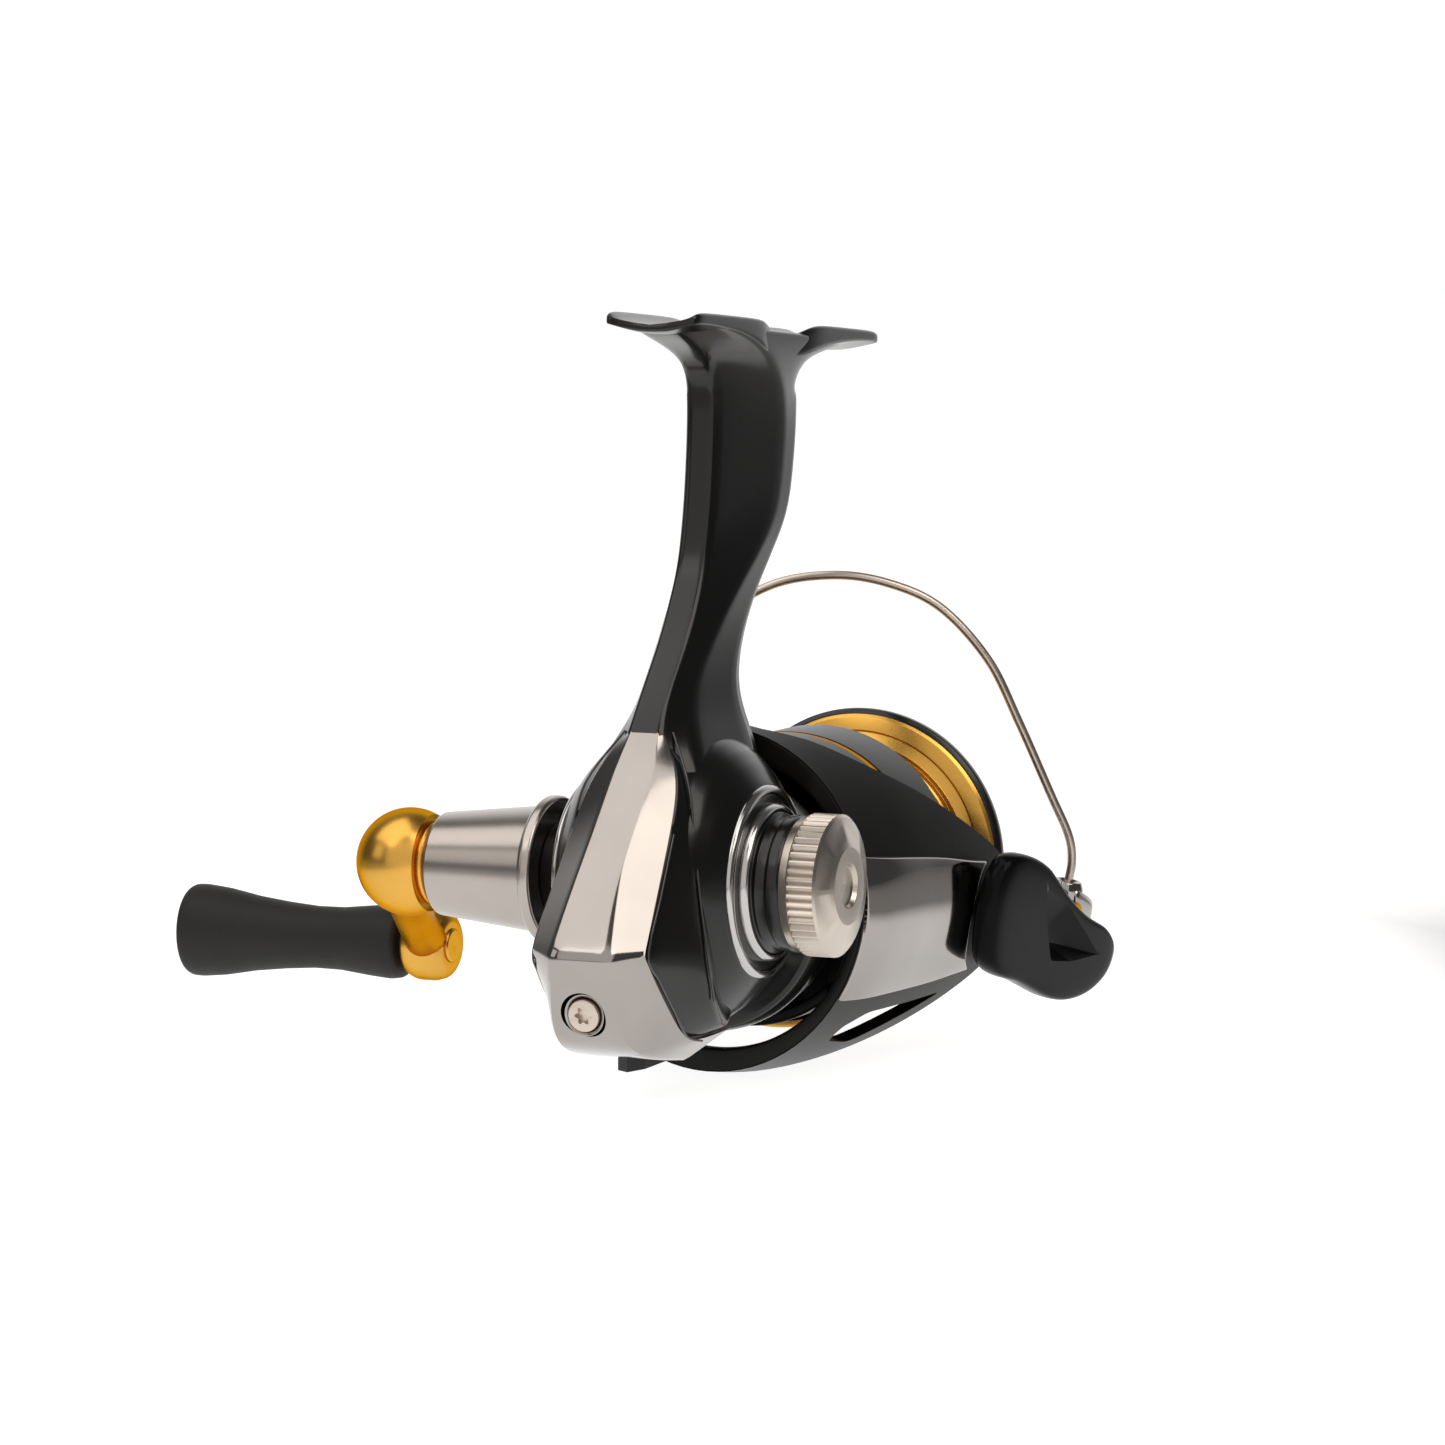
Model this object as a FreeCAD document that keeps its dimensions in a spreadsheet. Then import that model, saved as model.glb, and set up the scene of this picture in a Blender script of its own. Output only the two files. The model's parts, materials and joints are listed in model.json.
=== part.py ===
"""Spinning reel, 1000 size, in millimetres: +X towards the rod tip along the spool axis, +Y to the
handle side, +Z up to the rod. The origin is the middle of the seat on top of the foot.

Two axes carry everything: the shaft axis (spool, rotor, pinion) and the handle axis, which crosses
above it. Sub-parts are drawn about those axes and placed with shaft_place, rotor_place and
handle_place. The rotor rests turned by rotor_rest degrees."""
import FreeCAD, Part
import math
import os
import re
import Sketcher

Vector = FreeCAD.Vector
Rotation = FreeCAD.Rotation
Placement = FreeCAD.Placement

SIZES = {
    # places of the two axes
    "seat_height": 70.7, "hub_back": 20.3, "axis_offset": 4.0, "rotor_rest": 10.5, "foot_slope": 3.8,
    # spool
    "lip_radius": 20.0, "lip_inner": 19.3, "lip_back": 59.7, "lip_front": 61.9, "arbor_radius": 14.6,
    "arbor_back": 46.2, "arbor_front": 57.6, "skirt_radius": 19.0, "skirt_back": 30.5, "band_back": 35.5,
    "band_depth": 0.4, "skirt_wall": 0.9, "chamber_radius": 10.2, "chamber_back": 50.0, "hub_radius": 5.5,
    "hub_back_face": 41.0, "bush_radius": 3.0,
    # shafts
    "shaft_radius": 1.45, "shaft_back": 12.4, "shaft_front": 61.5, "spigot_radius": 1.0,
    "gear_neck": 2.4, "journal": 3.5, "running": 0.06,
    # gears
    "module_size": 0.5, "pinion_teeth": 12, "gear_teeth": 61, "gear_radius": 16.3, "gear_face": 14.3,
    "osc_teeth": 32, "osc_pinion_teeth": 16, "osc_drop": 7.2, "osc_set_back": 9.6, "osc_throw": 4.5,
    "pinion_back": 13.0, "pinion_tooth_end": 17.4, "pinion_stem": 3.0, "pinion_front": 38.4,
    # housing
    "drum_radius": 18.5, "cavity_radius": 17.0, "cover_split": 7.8, "boss_radius": 12.0,
    "boss_face": 11.6, "nose_radius": 10.5, "nose_front": 30.0, "sweep_radius": 18.4, "sweep_back": 9.8,
    # rotor
    "rim_back": 10.5, "arm_tip": 52.0, "pivot_forward": 46.0, "cup_radius": 17.5, "cup_back": 20.8,
    "cup_front": 42.0, "web_back": 31.3, "web_front": 33.8, "pivot_radius": 1.6,
    "head_radius": 2.5, "head_under": 28.5,
    # handle
    "ball_out": 37.3, "ball_radius": 6.9, "boss_forward": 39.5, "boss_out": 50.2, "boss_drop": 16.3,
    "knob_start": 57.5, "knob_end": 90.2, "spindle_radius": 1.5,
    # foot
    "foot_half_width": 6.3, "foot_back": 9.4, "foot_front": 50.0, "wire_radius": 0.6, "lever_pin": 1.0,
}

doc = FreeCAD.newDocument("SpinningReel")
sheet = doc.addObject("Spreadsheet::Sheet", "Sizes")
for row, (alias, number) in enumerate(SIZES.items(), start=1):
    sheet.set(f"A{row}", alias)
    sheet.set(f"B{row}", str(number))
    sheet.setAlias(f"B{row}", alias)
doc.recompute()

SUBPARTS = []


def expand(text):
    """An expression on the sheet's aliases, written without the sheet's own name."""
    return re.sub(r"[a-z]+_[a-z_]+|journal|running", lambda found: "Sizes." + found.group(), text)


def number(size):
    if isinstance(size, str):
        return float(sheet.evalExpression(expand(size)))
    return float(size)


# The frames that sub-parts are drawn in
hub = Vector(-number("hub_back"), 0, -number("seat_height"))
crossing = hub + Vector(0, 0, number("axis_offset"))
shaft_place = Placement(hub, Rotation())
rotor_turn = Rotation(Vector(1, 0, 0), number("rotor_rest"))
rotor_place = Placement(hub, rotor_turn)
body_place = Placement(crossing, Rotation())
handle_place = Placement(crossing, Rotation(Vector(0, 0, 1), 90))
knob_place = Placement(
    crossing + Vector(number("boss_forward"), 0, -number("boss_drop")), Rotation(Vector(0, 0, 1), 90))


def keep(piece, label, place):
    piece.Label = label
    piece.Placement = place
    SUBPARTS.append(piece)
    return piece


def new_body(name):
    return doc.addObject("PartDesign::Body", name)


def sketch_on(body, plane, lift=0, turn=Rotation()):
    """An empty sketch on one of the body's own origin planes, lifted along its normal."""
    sketch = body.newObject("Sketcher::SketchObject", body.Name + "Sketch")
    support = next(item for item in body.Origin.OriginFeatures if item.Role == plane)
    sketch.AttachmentSupport = (support, [""])
    sketch.MapMode = "FlatFace"
    sketch.AttachmentOffset = Placement(Vector(0, 0, number(lift)), turn)
    return sketch


def fix_point(sketch, line, end, point):
    """Holds one end of a line at a point whose coordinates are numbers or sheet expressions."""
    for axis, size in zip(("DistanceX", "DistanceY"), point):
        index = sketch.addConstraint(Sketcher.Constraint(axis, -1, 1, line, end, number(size)))
        if isinstance(size, str):
            sketch.setExpression(f"Constraints[{index}]", expand(size))


def outline(sketch, points):
    """A closed outline of straight lines through the points."""
    corners = [Vector(number(a), number(b), 0) for a, b in points]
    first = sketch.GeometryCount
    for start, end in zip(corners, corners[1:] + corners[:1]):
        sketch.addGeometry(Part.LineSegment(start, end), False)
    count = len(corners)
    for index in range(count):
        following = first + (index + 1) % count
        sketch.addConstraint(Sketcher.Constraint("Coincident", first + index, 2, following, 1))
        fix_point(sketch, first + index, 1, points[index])


def circle(sketch, radius, centre=(0, 0)):
    middle = Vector(number(centre[0]), number(centre[1]), 0)
    line = sketch.addGeometry(Part.Circle(middle, Vector(0, 0, 1), number(radius)), False)
    index = sketch.addConstraint(Sketcher.Constraint("Radius", line, number(radius)))
    if isinstance(radius, str):
        sketch.setExpression(f"Constraints[{index}]", expand(radius))
    fix_point(sketch, line, 3, centre)


def ellipse(sketch, across, up):
    """An ellipse about the origin with half sizes across (sketch X) and up (sketch Y)."""
    sketch.addGeometry(Part.Ellipse(Vector(0, number(up), 0), Vector(number(across), 0, 0), Vector()), False)


def revolve(body, sketch, axis="H_Axis", angle=360, cut=False):
    kind = "PartDesign::Groove" if cut else "PartDesign::Revolution"
    feature = body.newObject(kind, body.Name + ("Groove" if cut else "Turn"))
    feature.Profile = sketch
    feature.ReferenceAxis = (sketch, [axis])
    feature.Angle = angle
    return feature


def pad(body, sketch, length, midplane=False, reverse=False, cut=False):
    kind = "PartDesign::Pocket" if cut else "PartDesign::Pad"
    feature = body.newObject(kind, body.Name + ("Pocket" if cut else "Pad"))
    feature.Profile = sketch
    feature.Length = number(length)
    if isinstance(length, str):
        feature.setExpression("Length", expand(length))
    feature.Midplane = midplane
    feature.Reversed = reverse
    return feature


def loft(body, sections, cut=False, ruled=True):
    kind = "PartDesign::SubtractiveLoft" if cut else "PartDesign::AdditiveLoft"
    feature = body.newObject(kind, body.Name + "Loft")
    feature.Profile = sections[0]
    feature.Sections = sections[1:]
    feature.Ruled = ruled
    return feature


def turned(label, place, *profiles):
    """A piece turned about the X axis of its frame. Each profile is a closed (along, radius) outline."""
    body = new_body(label)
    for points in profiles:
        sketch = sketch_on(body, "XY_Plane")
        outline(sketch, points)
        revolve(body, sketch)
    return keep(body, label, place)


def tube(label, place, start, end, inner, outer):
    return turned(label, place, [(start, inner), (end, inner), (end, outer), (start, outer)])


def rod(start, end, radius):
    return [(start, 0), (end, 0), (end, radius), (start, radius)]


def shaped(label, shape, place):
    """A piece whose shape Part's own functions make."""
    piece = doc.addObject("Part::Feature", label)
    piece.Shape = shape
    return keep(piece, label, place)


def prism(points, depth, low, plane="XZ"):
    """A straight prism: a closed outline in XZ or XY, from low to low + depth along the third axis."""
    corners = [Vector(a, low, b) if plane == "XZ" else Vector(a, b, low) for a, b in points]
    face = Part.Face(Part.makePolygon(corners + corners[:1]))
    return face.extrude(Vector(0, depth, 0) if plane == "XZ" else Vector(0, 0, depth))


def rounded_path(corners, radii):
    """Straight runs between the corners, joined by tangent arcs of the given radii."""
    edges = []
    start = corners[0]
    for before, corner, after, radius in zip(corners, corners[1:], corners[2:], radii):
        back = (before - corner).normalize()
        ahead = (after - corner).normalize()
        half = back.getAngle(ahead) / 2
        reach = radius / math.tan(half)
        first = corner + back * reach
        last = corner + ahead * reach
        middle = corner + (back + ahead).normalize() * (radius / math.sin(half) - radius)
        edges.append(Part.LineSegment(start, first).toShape())
        edges.append(Part.Arc(first, middle, last).toShape())
        start = last
    edges.append(Part.LineSegment(start, corners[-1]).toShape())
    return Part.Wire(edges)


def swept_wire(corners, radii, thickness):
    path = rounded_path(corners, radii)
    along = (corners[1] - corners[0]).normalize()
    ring = Part.Wire(Part.Circle(corners[0], along, thickness).toShape())
    return path.makePipeShell([ring], True, False)


def toothed(count, root, tip, width_root, width_tip, low, high, bore):
    """A spur gear about X: a root cylinder with straight-sided teeth and a bore."""
    x_axis = Vector(1, 0, 0)
    blank = Part.makeCylinder(root, high - low, Vector(low, 0, 0), x_axis)
    sunk = root - 0.15
    corners = [(sunk, -width_root / 2), (tip, -width_tip / 2), (tip, width_tip / 2), (sunk, width_root / 2)]
    wire = Part.makePolygon([Vector(low, a, b) for a, b in corners + corners[:1]])
    tooth = Part.Face(wire).extrude(Vector(high - low, 0, 0))
    teeth = []
    for index in range(count):
        copy = tooth.copy()
        copy.rotate(Vector(), x_axis, 360 * index / count)
        teeth.append(copy)
    gear = blank.multiFuse(teeth)
    if bore:
        gear = gear.cut(Part.makeCylinder(bore, high - low, Vector(low, 0, 0), x_axis))
    return gear


# ---- Spool, drag and line clip ----------------------------------------------------------------
def make_spool():
    turned("spool", shaft_place, [
        ("hub_back_face", "bush_radius"), ("chamber_back", "bush_radius"),
        ("chamber_back", "chamber_radius"), ("lip_back + 0.7", "chamber_radius"),
        ("lip_front - 0.5", "chamber_radius + 1.3"), ("lip_front - 0.5", "lip_inner - 1.1"),
        ("lip_back", "lip_inner - 1.1"), ("lip_back", "lip_inner"), ("arbor_front", "arbor_radius"),
        ("arbor_back", "arbor_radius"), ("arbor_back", "skirt_radius - band_depth"),
        ("band_back", "skirt_radius - band_depth"), ("band_back", "skirt_radius"),
        ("skirt_back", "skirt_radius"), ("skirt_back", "skirt_radius - skirt_wall"),
        ("arbor_back - 1.6", "skirt_radius - skirt_wall"), ("arbor_back - 1.6", "arbor_radius - 1.6"),
        ("chamber_back - 2.5", "arbor_radius - 1.6"), ("chamber_back - 2.5", "hub_radius"),
        ("hub_back_face", "hub_radius")])
    turned("spool_lip_ring", shaft_place, [
        ("lip_back", "lip_inner - 1.08"), ("lip_front", "lip_inner - 1.08"), ("lip_front", "lip_inner - 0.3"),
        ("lip_front - 0.8", "lip_radius"), ("lip_back + 0.5", "lip_radius"), ("lip_back", "lip_inner + 0.1")])
    tube("spool_skirt_band", shaft_place, "band_back + 0.02", "arbor_back + 0.4",
         "skirt_radius - band_depth + 0.02", "skirt_radius")
    tube("spool_bush", shaft_place, "hub_back_face + 0.3", "chamber_back - 0.3",
         "shaft_radius + running", "bush_radius - 0.01")
    washers = []
    for index in range(5):
        start = number("chamber_back") + 0.2 + index * 0.85
        disc = Part.makeCylinder(9.8 - 0.3 * (index % 2), 0.8, Vector(start, 0, 0), Vector(1, 0, 0))
        hole = Part.makeCylinder(1.9, 0.8, Vector(start, 0, 0), Vector(1, 0, 0))
        washers.append(disc.cut(hole))
    shaped("drag_washers", Part.makeCompound(washers), shaft_place)
    ring = Part.makeTorus(9.7, 0.4, Vector(number("chamber_back") + 5.0, 0, 0), Vector(1, 0, 0))
    gap = Part.makeBox(2, 3, 4, Vector(number("chamber_back") + 4, -1.5, 8))
    shaped("drag_retainer", ring.cut(gap), shaft_place)
    turned("drag_knob_nut", shaft_place, [
        ("shaft_front - 4", "shaft_radius + 0.01"), ("shaft_front - 0.2", "shaft_radius + 0.01"),
        ("shaft_front - 0.2", 2.7), ("shaft_front - 4", 2.7)])
    knob = turned("drag_knob", shaft_place, [
        ("chamber_back + 6", 2.72), ("shaft_front - 0.1", 2.72), ("shaft_front + 0.6", 2.0),
        ("shaft_front + 0.6", 0), ("lip_front + 2.4", 0), ("lip_front + 2.4", 5.6),
        ("lip_front + 1.4", 8.6), ("lip_front - 1", 9.4), ("chamber_back + 6", 9.4)])
    grip = sketch_on(knob, "YZ_Plane", "lip_front + 0.4")
    for index in range(3):
        angle = math.radians(120 * index + 30)
        circle(grip, 5.0, (10.6 * math.cos(angle), 10.6 * math.sin(angle)))
    pad(knob, grip, 3, cut=True, reverse=True)
    clip = Part.makeBox(3.4, 4.4, 0.7, Vector(39, -2.2, number("skirt_radius") + 0.02))
    slit = Part.makeBox(2.4, 0.35, 1, Vector(38.9, 0.9, number("skirt_radius")))
    clip_turn = Placement(Vector(), Rotation(Vector(1, 0, 0), -100))
    shaped("line_clip", clip.cut(slit), shaft_place.multiply(clip_turn))


# ---- Main shaft and its oscillation -----------------------------------------------------------
def make_oscillation():
    turned("main_shaft", shaft_place, [
        ("-shaft_back", 0), ("shaft_front", 0), ("shaft_front", "shaft_radius"),
        ("-shaft_back + 4.4", "shaft_radius"), ("-shaft_back + 4.4", "spigot_radius"),
        ("-shaft_back", "spigot_radius")])
    tube("spool_support", shaft_place, "pinion_front + 0.9", "hub_back_face - 0.2", "shaft_radius + 0.01", 5.0)
    set_back = number("osc_set_back")
    drop = number("osc_drop") - number("axis_offset")
    throw = number("osc_throw")
    pin_x = -set_back - throw
    yoke = Part.makeBox(3.6, 1.8, 12.1, Vector(pin_x - 2.1, -4.2, -9.2))
    yoke = yoke.fuse(Part.makeBox(3.6, 4.8, 12.1, Vector(pin_x - 2.1, -2.4, -9.2)))
    slot = Part.makeBox(1.7, 3.0, 10.8, Vector(pin_x - 0.85, -4.3, -drop - 5.4))
    yoke = yoke.cut(slot)
    yoke = yoke.fuse(Part.makeBox(4.6, 4.8, 4.5, Vector(-12.6, -2.4, -3.0)))
    bore = Part.makeCylinder(number("spigot_radius") + 0.02, 6, Vector(-12.5, 0, 0), Vector(1, 0, 0))
    lug = Part.makeBox(3.6, 4.0, 3.4, Vector(pin_x - 2.1, -2.0, -12.5))
    rail_hole = Part.makeCylinder(0.96, 8, Vector(pin_x - 4, 0, -10.8), Vector(1, 0, 0))
    slider = yoke.fuse(lug).cut(rail_hole).cut(bore)
    screw_hole = Part.makeCylinder(0.61, 2.2, Vector(-10.3, 0, -3.0), Vector(0, 0, 1))
    shaped("oscillation_slider", slider.cut(screw_hole).removeSplitter(), shaft_place)
    screw = Part.makeCylinder(0.6, 2.0, Vector(-10.3, 0, -3.0), Vector(0, 0, 1))
    head = Part.makeCylinder(1.2, 0.8, Vector(-10.3, 0, -3.8), Vector(0, 0, 1))
    shaped("slider_screw", screw.fuse(head), shaft_place)
    shaped("oscillation_rail", Part.makeCylinder(0.9, 24, Vector(-19.5, 0, -10.8), Vector(1, 0, 0)), shaft_place)
    place = Placement(hub + Vector(-set_back, 0, -drop), Rotation(Vector(0, 0, 1), 90))
    root = number("module_size * osc_teeth / 2") - 0.6
    gear = toothed(int(number("osc_teeth")), root, root + 1.0, 0.85, 0.4, -7.0, -4.6, 1.56)
    crank = Part.makeCylinder(0.75, 0.4, Vector(-4.7, throw, 0), Vector(1, 0, 0))
    to_drive = 180 - math.degrees(math.atan2(number("osc_drop"), number("osc_set_back")))
    gear.rotate(Vector(), Vector(1, 0, 0), to_drive)
    shaped("oscillating_gear", gear.fuse(crank), place)
    turned("oscillating_gear_axle", place, rod(-10.2, -4.7, 1.5))


# ---- Drive gear, pinion and one-way clutch ----------------------------------------------------
def make_drive():
    pitch = number("module_size * pinion_teeth / 2")
    low, high = number("pinion_back"), number("pinion_tooth_end")
    bore = number("shaft_radius") + 0.08
    teeth = toothed(int(number("pinion_teeth")), pitch - 0.62, pitch + 0.42, 0.86, 0.26, low, high, 0)
    stem = Part.makeCylinder(number("pinion_stem"), number("pinion_front") - high, Vector(high, 0, 0),
                             Vector(1, 0, 0))
    hole = Part.makeCylinder(bore, 40, Vector(low, 0, 0), Vector(1, 0, 0))
    shaped("pinion_gear", teeth.fuse(stem).cut(hole), shaft_place)

    disc = Part.makeCylinder(number("gear_radius"), 1.4, Vector(3.75, 0, 0), Vector(1, 0, 0))
    hollow = Part.makeCylinder(number("gear_face") - 0.6, 3, Vector(1, 0, 0), Vector(1, 0, 0))
    rim = Part.makeCylinder(number("gear_radius"), 0.6, Vector(3.65, 0, 0), Vector(1, 0, 0)).cut(hollow)
    drop = number("axis_offset")
    inner, outer = number("gear_face"), number("gear_radius") - 0.1
    teeth = []
    for index in range(int(number("gear_teeth"))):
        # each tooth line is tangent to a circle of the axis offset, so that it runs along the shaft
        base, tip = 0.34, 0.15
        wire = Part.makePolygon([Vector(3.7, -base, 0), Vector(2.62, -tip, 0), Vector(2.62, tip, 0),
                                 Vector(3.7, base, 0), Vector(3.7, -base, 0)])
        run = Part.Face(wire).extrude(Vector(0, 0, outer - inner))
        run.translate(Vector(0, -drop, inner - 0.35))
        run.rotate(Vector(), Vector(1, 0, 0), 90 + 360 * (index + 0.5) / number("gear_teeth"))
        teeth.append(run)
    ring = disc.fuse(rim).multiFuse(teeth)
    spokes = [Part.makeCylinder(3.6, 3, Vector(3, 0, 9), Vector(1, 0, 0)) for _ in range(5)]
    for index, hole in enumerate(spokes):
        hole.rotate(Vector(), Vector(1, 0, 0), 72 * index)
        ring = ring.cut(hole)
    journal, neck = number("journal"), number("gear_neck")
    shaft = Part.makeCylinder(journal, 8.6, Vector(2.6, 0, 0), Vector(1, 0, 0))
    shaft = shaft.fuse(Part.makeCylinder(neck, 6, Vector(-3, 0, 0), Vector(1, 0, 0)))
    shaft = shaft.fuse(Part.makeCylinder(journal, 8.6, Vector(-11.2, 0, 0), Vector(1, 0, 0)))
    root = number("module_size * osc_pinion_teeth / 2") - 0.6
    osc_line = -math.degrees(math.atan2(number("osc_drop"), number("osc_set_back")))
    small = toothed(int(number("osc_pinion_teeth")), root, root + 1.0, 0.8, 0.34, -7.0, -4.6, 0)
    small.rotate(Vector(), Vector(1, 0, 0), osc_line + 180 / number("osc_pinion_teeth"))
    through = Part.makeCylinder(1.62, 30, Vector(-15, 0, 0), Vector(1, 0, 0))
    gear = ring.fuse(shaft).fuse(small).cut(through)
    shaped("drive_gear", gear, handle_place)

    for label, start in (("gear_bearing_left", 7.6), ("gear_bearing_right", -11.0)):
        ball_bearing(label, handle_place, start, 3.4, "journal", 6.6)
    ball_bearing("pinion_bearing", shaft_place, 18.6, 3.4, "pinion_stem", 6.6)

    tube("clutch_sleeve", shaft_place, 22.3, 29.8, "pinion_stem + 0.01", 4.6)
    tube("clutch_housing", shaft_place, 22.4, 28.6, 6.9, 8.9)
    rollers = []
    for index in range(6):
        roller = Part.makeCylinder(0.98, 5.4, Vector(22.8, 0, 5.74), Vector(1, 0, 0))
        roller.rotate(Vector(), Vector(1, 0, 0), 60 * index)
        rollers.append(roller)
    shaped("clutch_rollers", Part.makeCompound(rollers), shaft_place)
    tube("clutch_retainer", shaft_place, 28.7, "nose_front - 0.1", 5.0, 8.9)
    tube("rotor_nut", shaft_place, "web_front + 1.3", "pinion_front", "pinion_stem + 0.01", 5.2)


def ball_bearing(label, place, start, width, inner, outer):
    """Two races and the balls between them."""
    x_axis = Vector(1, 0, 0)
    bore = number(inner) + 0.02
    gap_low, gap_high = bore + 0.9, outer - 0.9
    solids = []
    for low, high in ((bore, gap_low), (gap_high, outer)):
        race = Part.makeCylinder(high, width, Vector(start, 0, 0), x_axis)
        solids.append(race.cut(Part.makeCylinder(low, width, Vector(start, 0, 0), x_axis)))
    middle = (gap_low + gap_high) / 2
    ball = (gap_high - gap_low) / 2 - 0.03
    for index in range(8):
        sphere = Part.makeSphere(ball, Vector(start + width / 2, 0, middle))
        sphere.rotate(Vector(), x_axis, 45 * index)
        solids.append(sphere)
    shaped(label, Part.makeCompound(solids), place)


# ---- Handle ------------------------------------------------------------------------------------
def make_handle():
    tube("handle_shaft", handle_place, -19.5, 33.0, 0.6, 1.6)
    turned("handle_sleeve", handle_place, [
        (16.4, 1.62), (32.6, 1.62), (32.6, 6.2), (32.0, 6.45), (19.0, 8.0), (18.2, 9.2),
        (17.8, 9.4), (16.6, 9.4), (16.4, 9.2)])
    tube("handle_collar", handle_place, 12.0, 16.38, 1.62, 6.4)
    tube("handle_ring", handle_place, 32.62, 34.0, 1.62, 5.2)

    ball = Part.makeSphere(number("ball_radius"), Vector(number("ball_out"), 0, 0))
    forward, drop = number("boss_forward"), number("boss_drop")
    out = number("boss_out")
    # in the handle frame: along the axis, then backwards, then up
    boss = Part.makeCylinder(4.6, 6.6, Vector(out + 0.3, -forward, -drop), Vector(1, 0, 0))
    boss = boss.makeFillet(1.6, [edge for edge in boss.Edges if edge.Length > 20])
    start = Vector(number("ball_out") + 0.8, 0, 0)
    end = Vector(out + 3.6, -forward, -drop)
    along = (end - start).normalize()
    rings = []
    for middle, radius in ((start, 4.6), (start + (end - start) * 0.5, 3.2), (end, 3.6)):
        rings.append(Part.Wire(Part.Circle(middle, along, radius).toShape()))
    bar = Part.makeLoft(rings, True)
    arm = ball.fuse(bar).fuse(boss).cut(Part.makeBox(20, 40, 40, Vector(14.02, -20, -20)))
    bore = number("spindle_radius") + 0.01
    arm = arm.cut(Part.makeCylinder(bore, 12, Vector(out - 1, -forward, -drop), Vector(1, 0, 0)))
    sink = Part.makeCylinder(2.4, 1.2, Vector(out - 0.1, -forward, -drop), Vector(1, 0, 0))
    shaped("crank_arm", arm.cut(sink), handle_place)

    cap = turned("handle_lock_cap", handle_place, [
        (-22.7, 0), (-22.7, 5.0), (-21.6, 9.2), (-21.4, 9.5), (-18.4, 9.5), (-17.9, 9.1), (-17.1, 8.9),
        (-17.1, 1.62), (-19.6, 1.62), (-19.6, 0)])
    grip = sketch_on(cap, "YZ_Plane", -18.3)
    outline(grip, [(9.0, 0), (9.75, -0.33), (9.75, 0.33)])
    knurl = pad(cap, grip, 3.1, reverse=True)
    pattern = cap.newObject("PartDesign::PolarPattern", "Knurl")
    pattern.Originals = [knurl]
    pattern.Axis = (grip, ["N_Axis"])
    pattern.Angle = 360
    pattern.Occurrences = 50
    cap.Tip = pattern
    tube("cap_seat", handle_place, -17.08, -13.6, "journal + 0.4", 8.4)

    turned("knob_spindle", knob_place, rod("boss_out - 0.1", "boss_out + 1.0", 2.3),
           rod("boss_out + 0.9", "knob_end - 6", "spindle_radius"))
    bushes = []
    for start in (number("knob_start") + 0.3, number("knob_end") - 11.5):
        bush = Part.makeCylinder(2.6, 3.5, Vector(start, 0, 0), Vector(1, 0, 0))
        bushes.append(bush.cut(Part.makeCylinder(number("spindle_radius") + 0.05, 3.5, Vector(start, 0, 0),
                                                 Vector(1, 0, 0))))
    shaped("knob_bushes", Part.makeCompound(bushes), knob_place)
    turned("handle_knob", knob_place, [
        ("knob_start", 2.62), ("knob_end - 7.9", 2.62), ("knob_end - 7.9", 3.4), ("knob_end - 1.2", 3.4),
        ("knob_end - 1.2", 4.6), ("knob_end - 0.2", 4.6), ("knob_end", 5.6), ("knob_end - 1.5", 6.2),
        ("knob_end - 5", 6.3), ("knob_end - 9", 5.4), ("knob_end - 14", 4.7), ("knob_start + 12", 4.2),
        ("knob_start + 6", 4.4), ("knob_start + 2", 4.9), ("knob_start + 0.4", 4.6), ("knob_start", 4.0)])
    turned("knob_screw", knob_place, rod("knob_end - 5.98", "knob_end - 4.6", 2.5))
    turned("knob_end_cap", knob_place, rod("knob_end - 1.18", "knob_end - 0.2", 4.58))


# ---- Rotor and its covers ---------------------------------------------------------------------
FRONT_EDGE = [(13.2, 22.6), (16.5, 21.3), (22, 19.2), (31, 15.6), (40, 11.4), (48, 7.2), (51.2, 4.0)]


def side_outline(points):
    """The points and their mirror below the middle line, as one closed outline."""
    return points + [(a, -b) for a, b in reversed(points)]


def rotor_shell(name, grow):
    """The rotor's outer cone: wider than deep at the rim, nearly round at the arm tips."""
    body = new_body(name)
    sections = []
    for along, across, up in (("rim_back", 20.3, 22.1), (26, 22.7, 24.3), ("arm_tip", 25.4, 25.8)):
        sketch = sketch_on(body, "YZ_Plane", along)
        ellipse(sketch, across + grow, up + grow)
        sections.append(sketch)
    loft(body, sections)
    doc.recompute()
    return body.Shape.copy(), body


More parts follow.
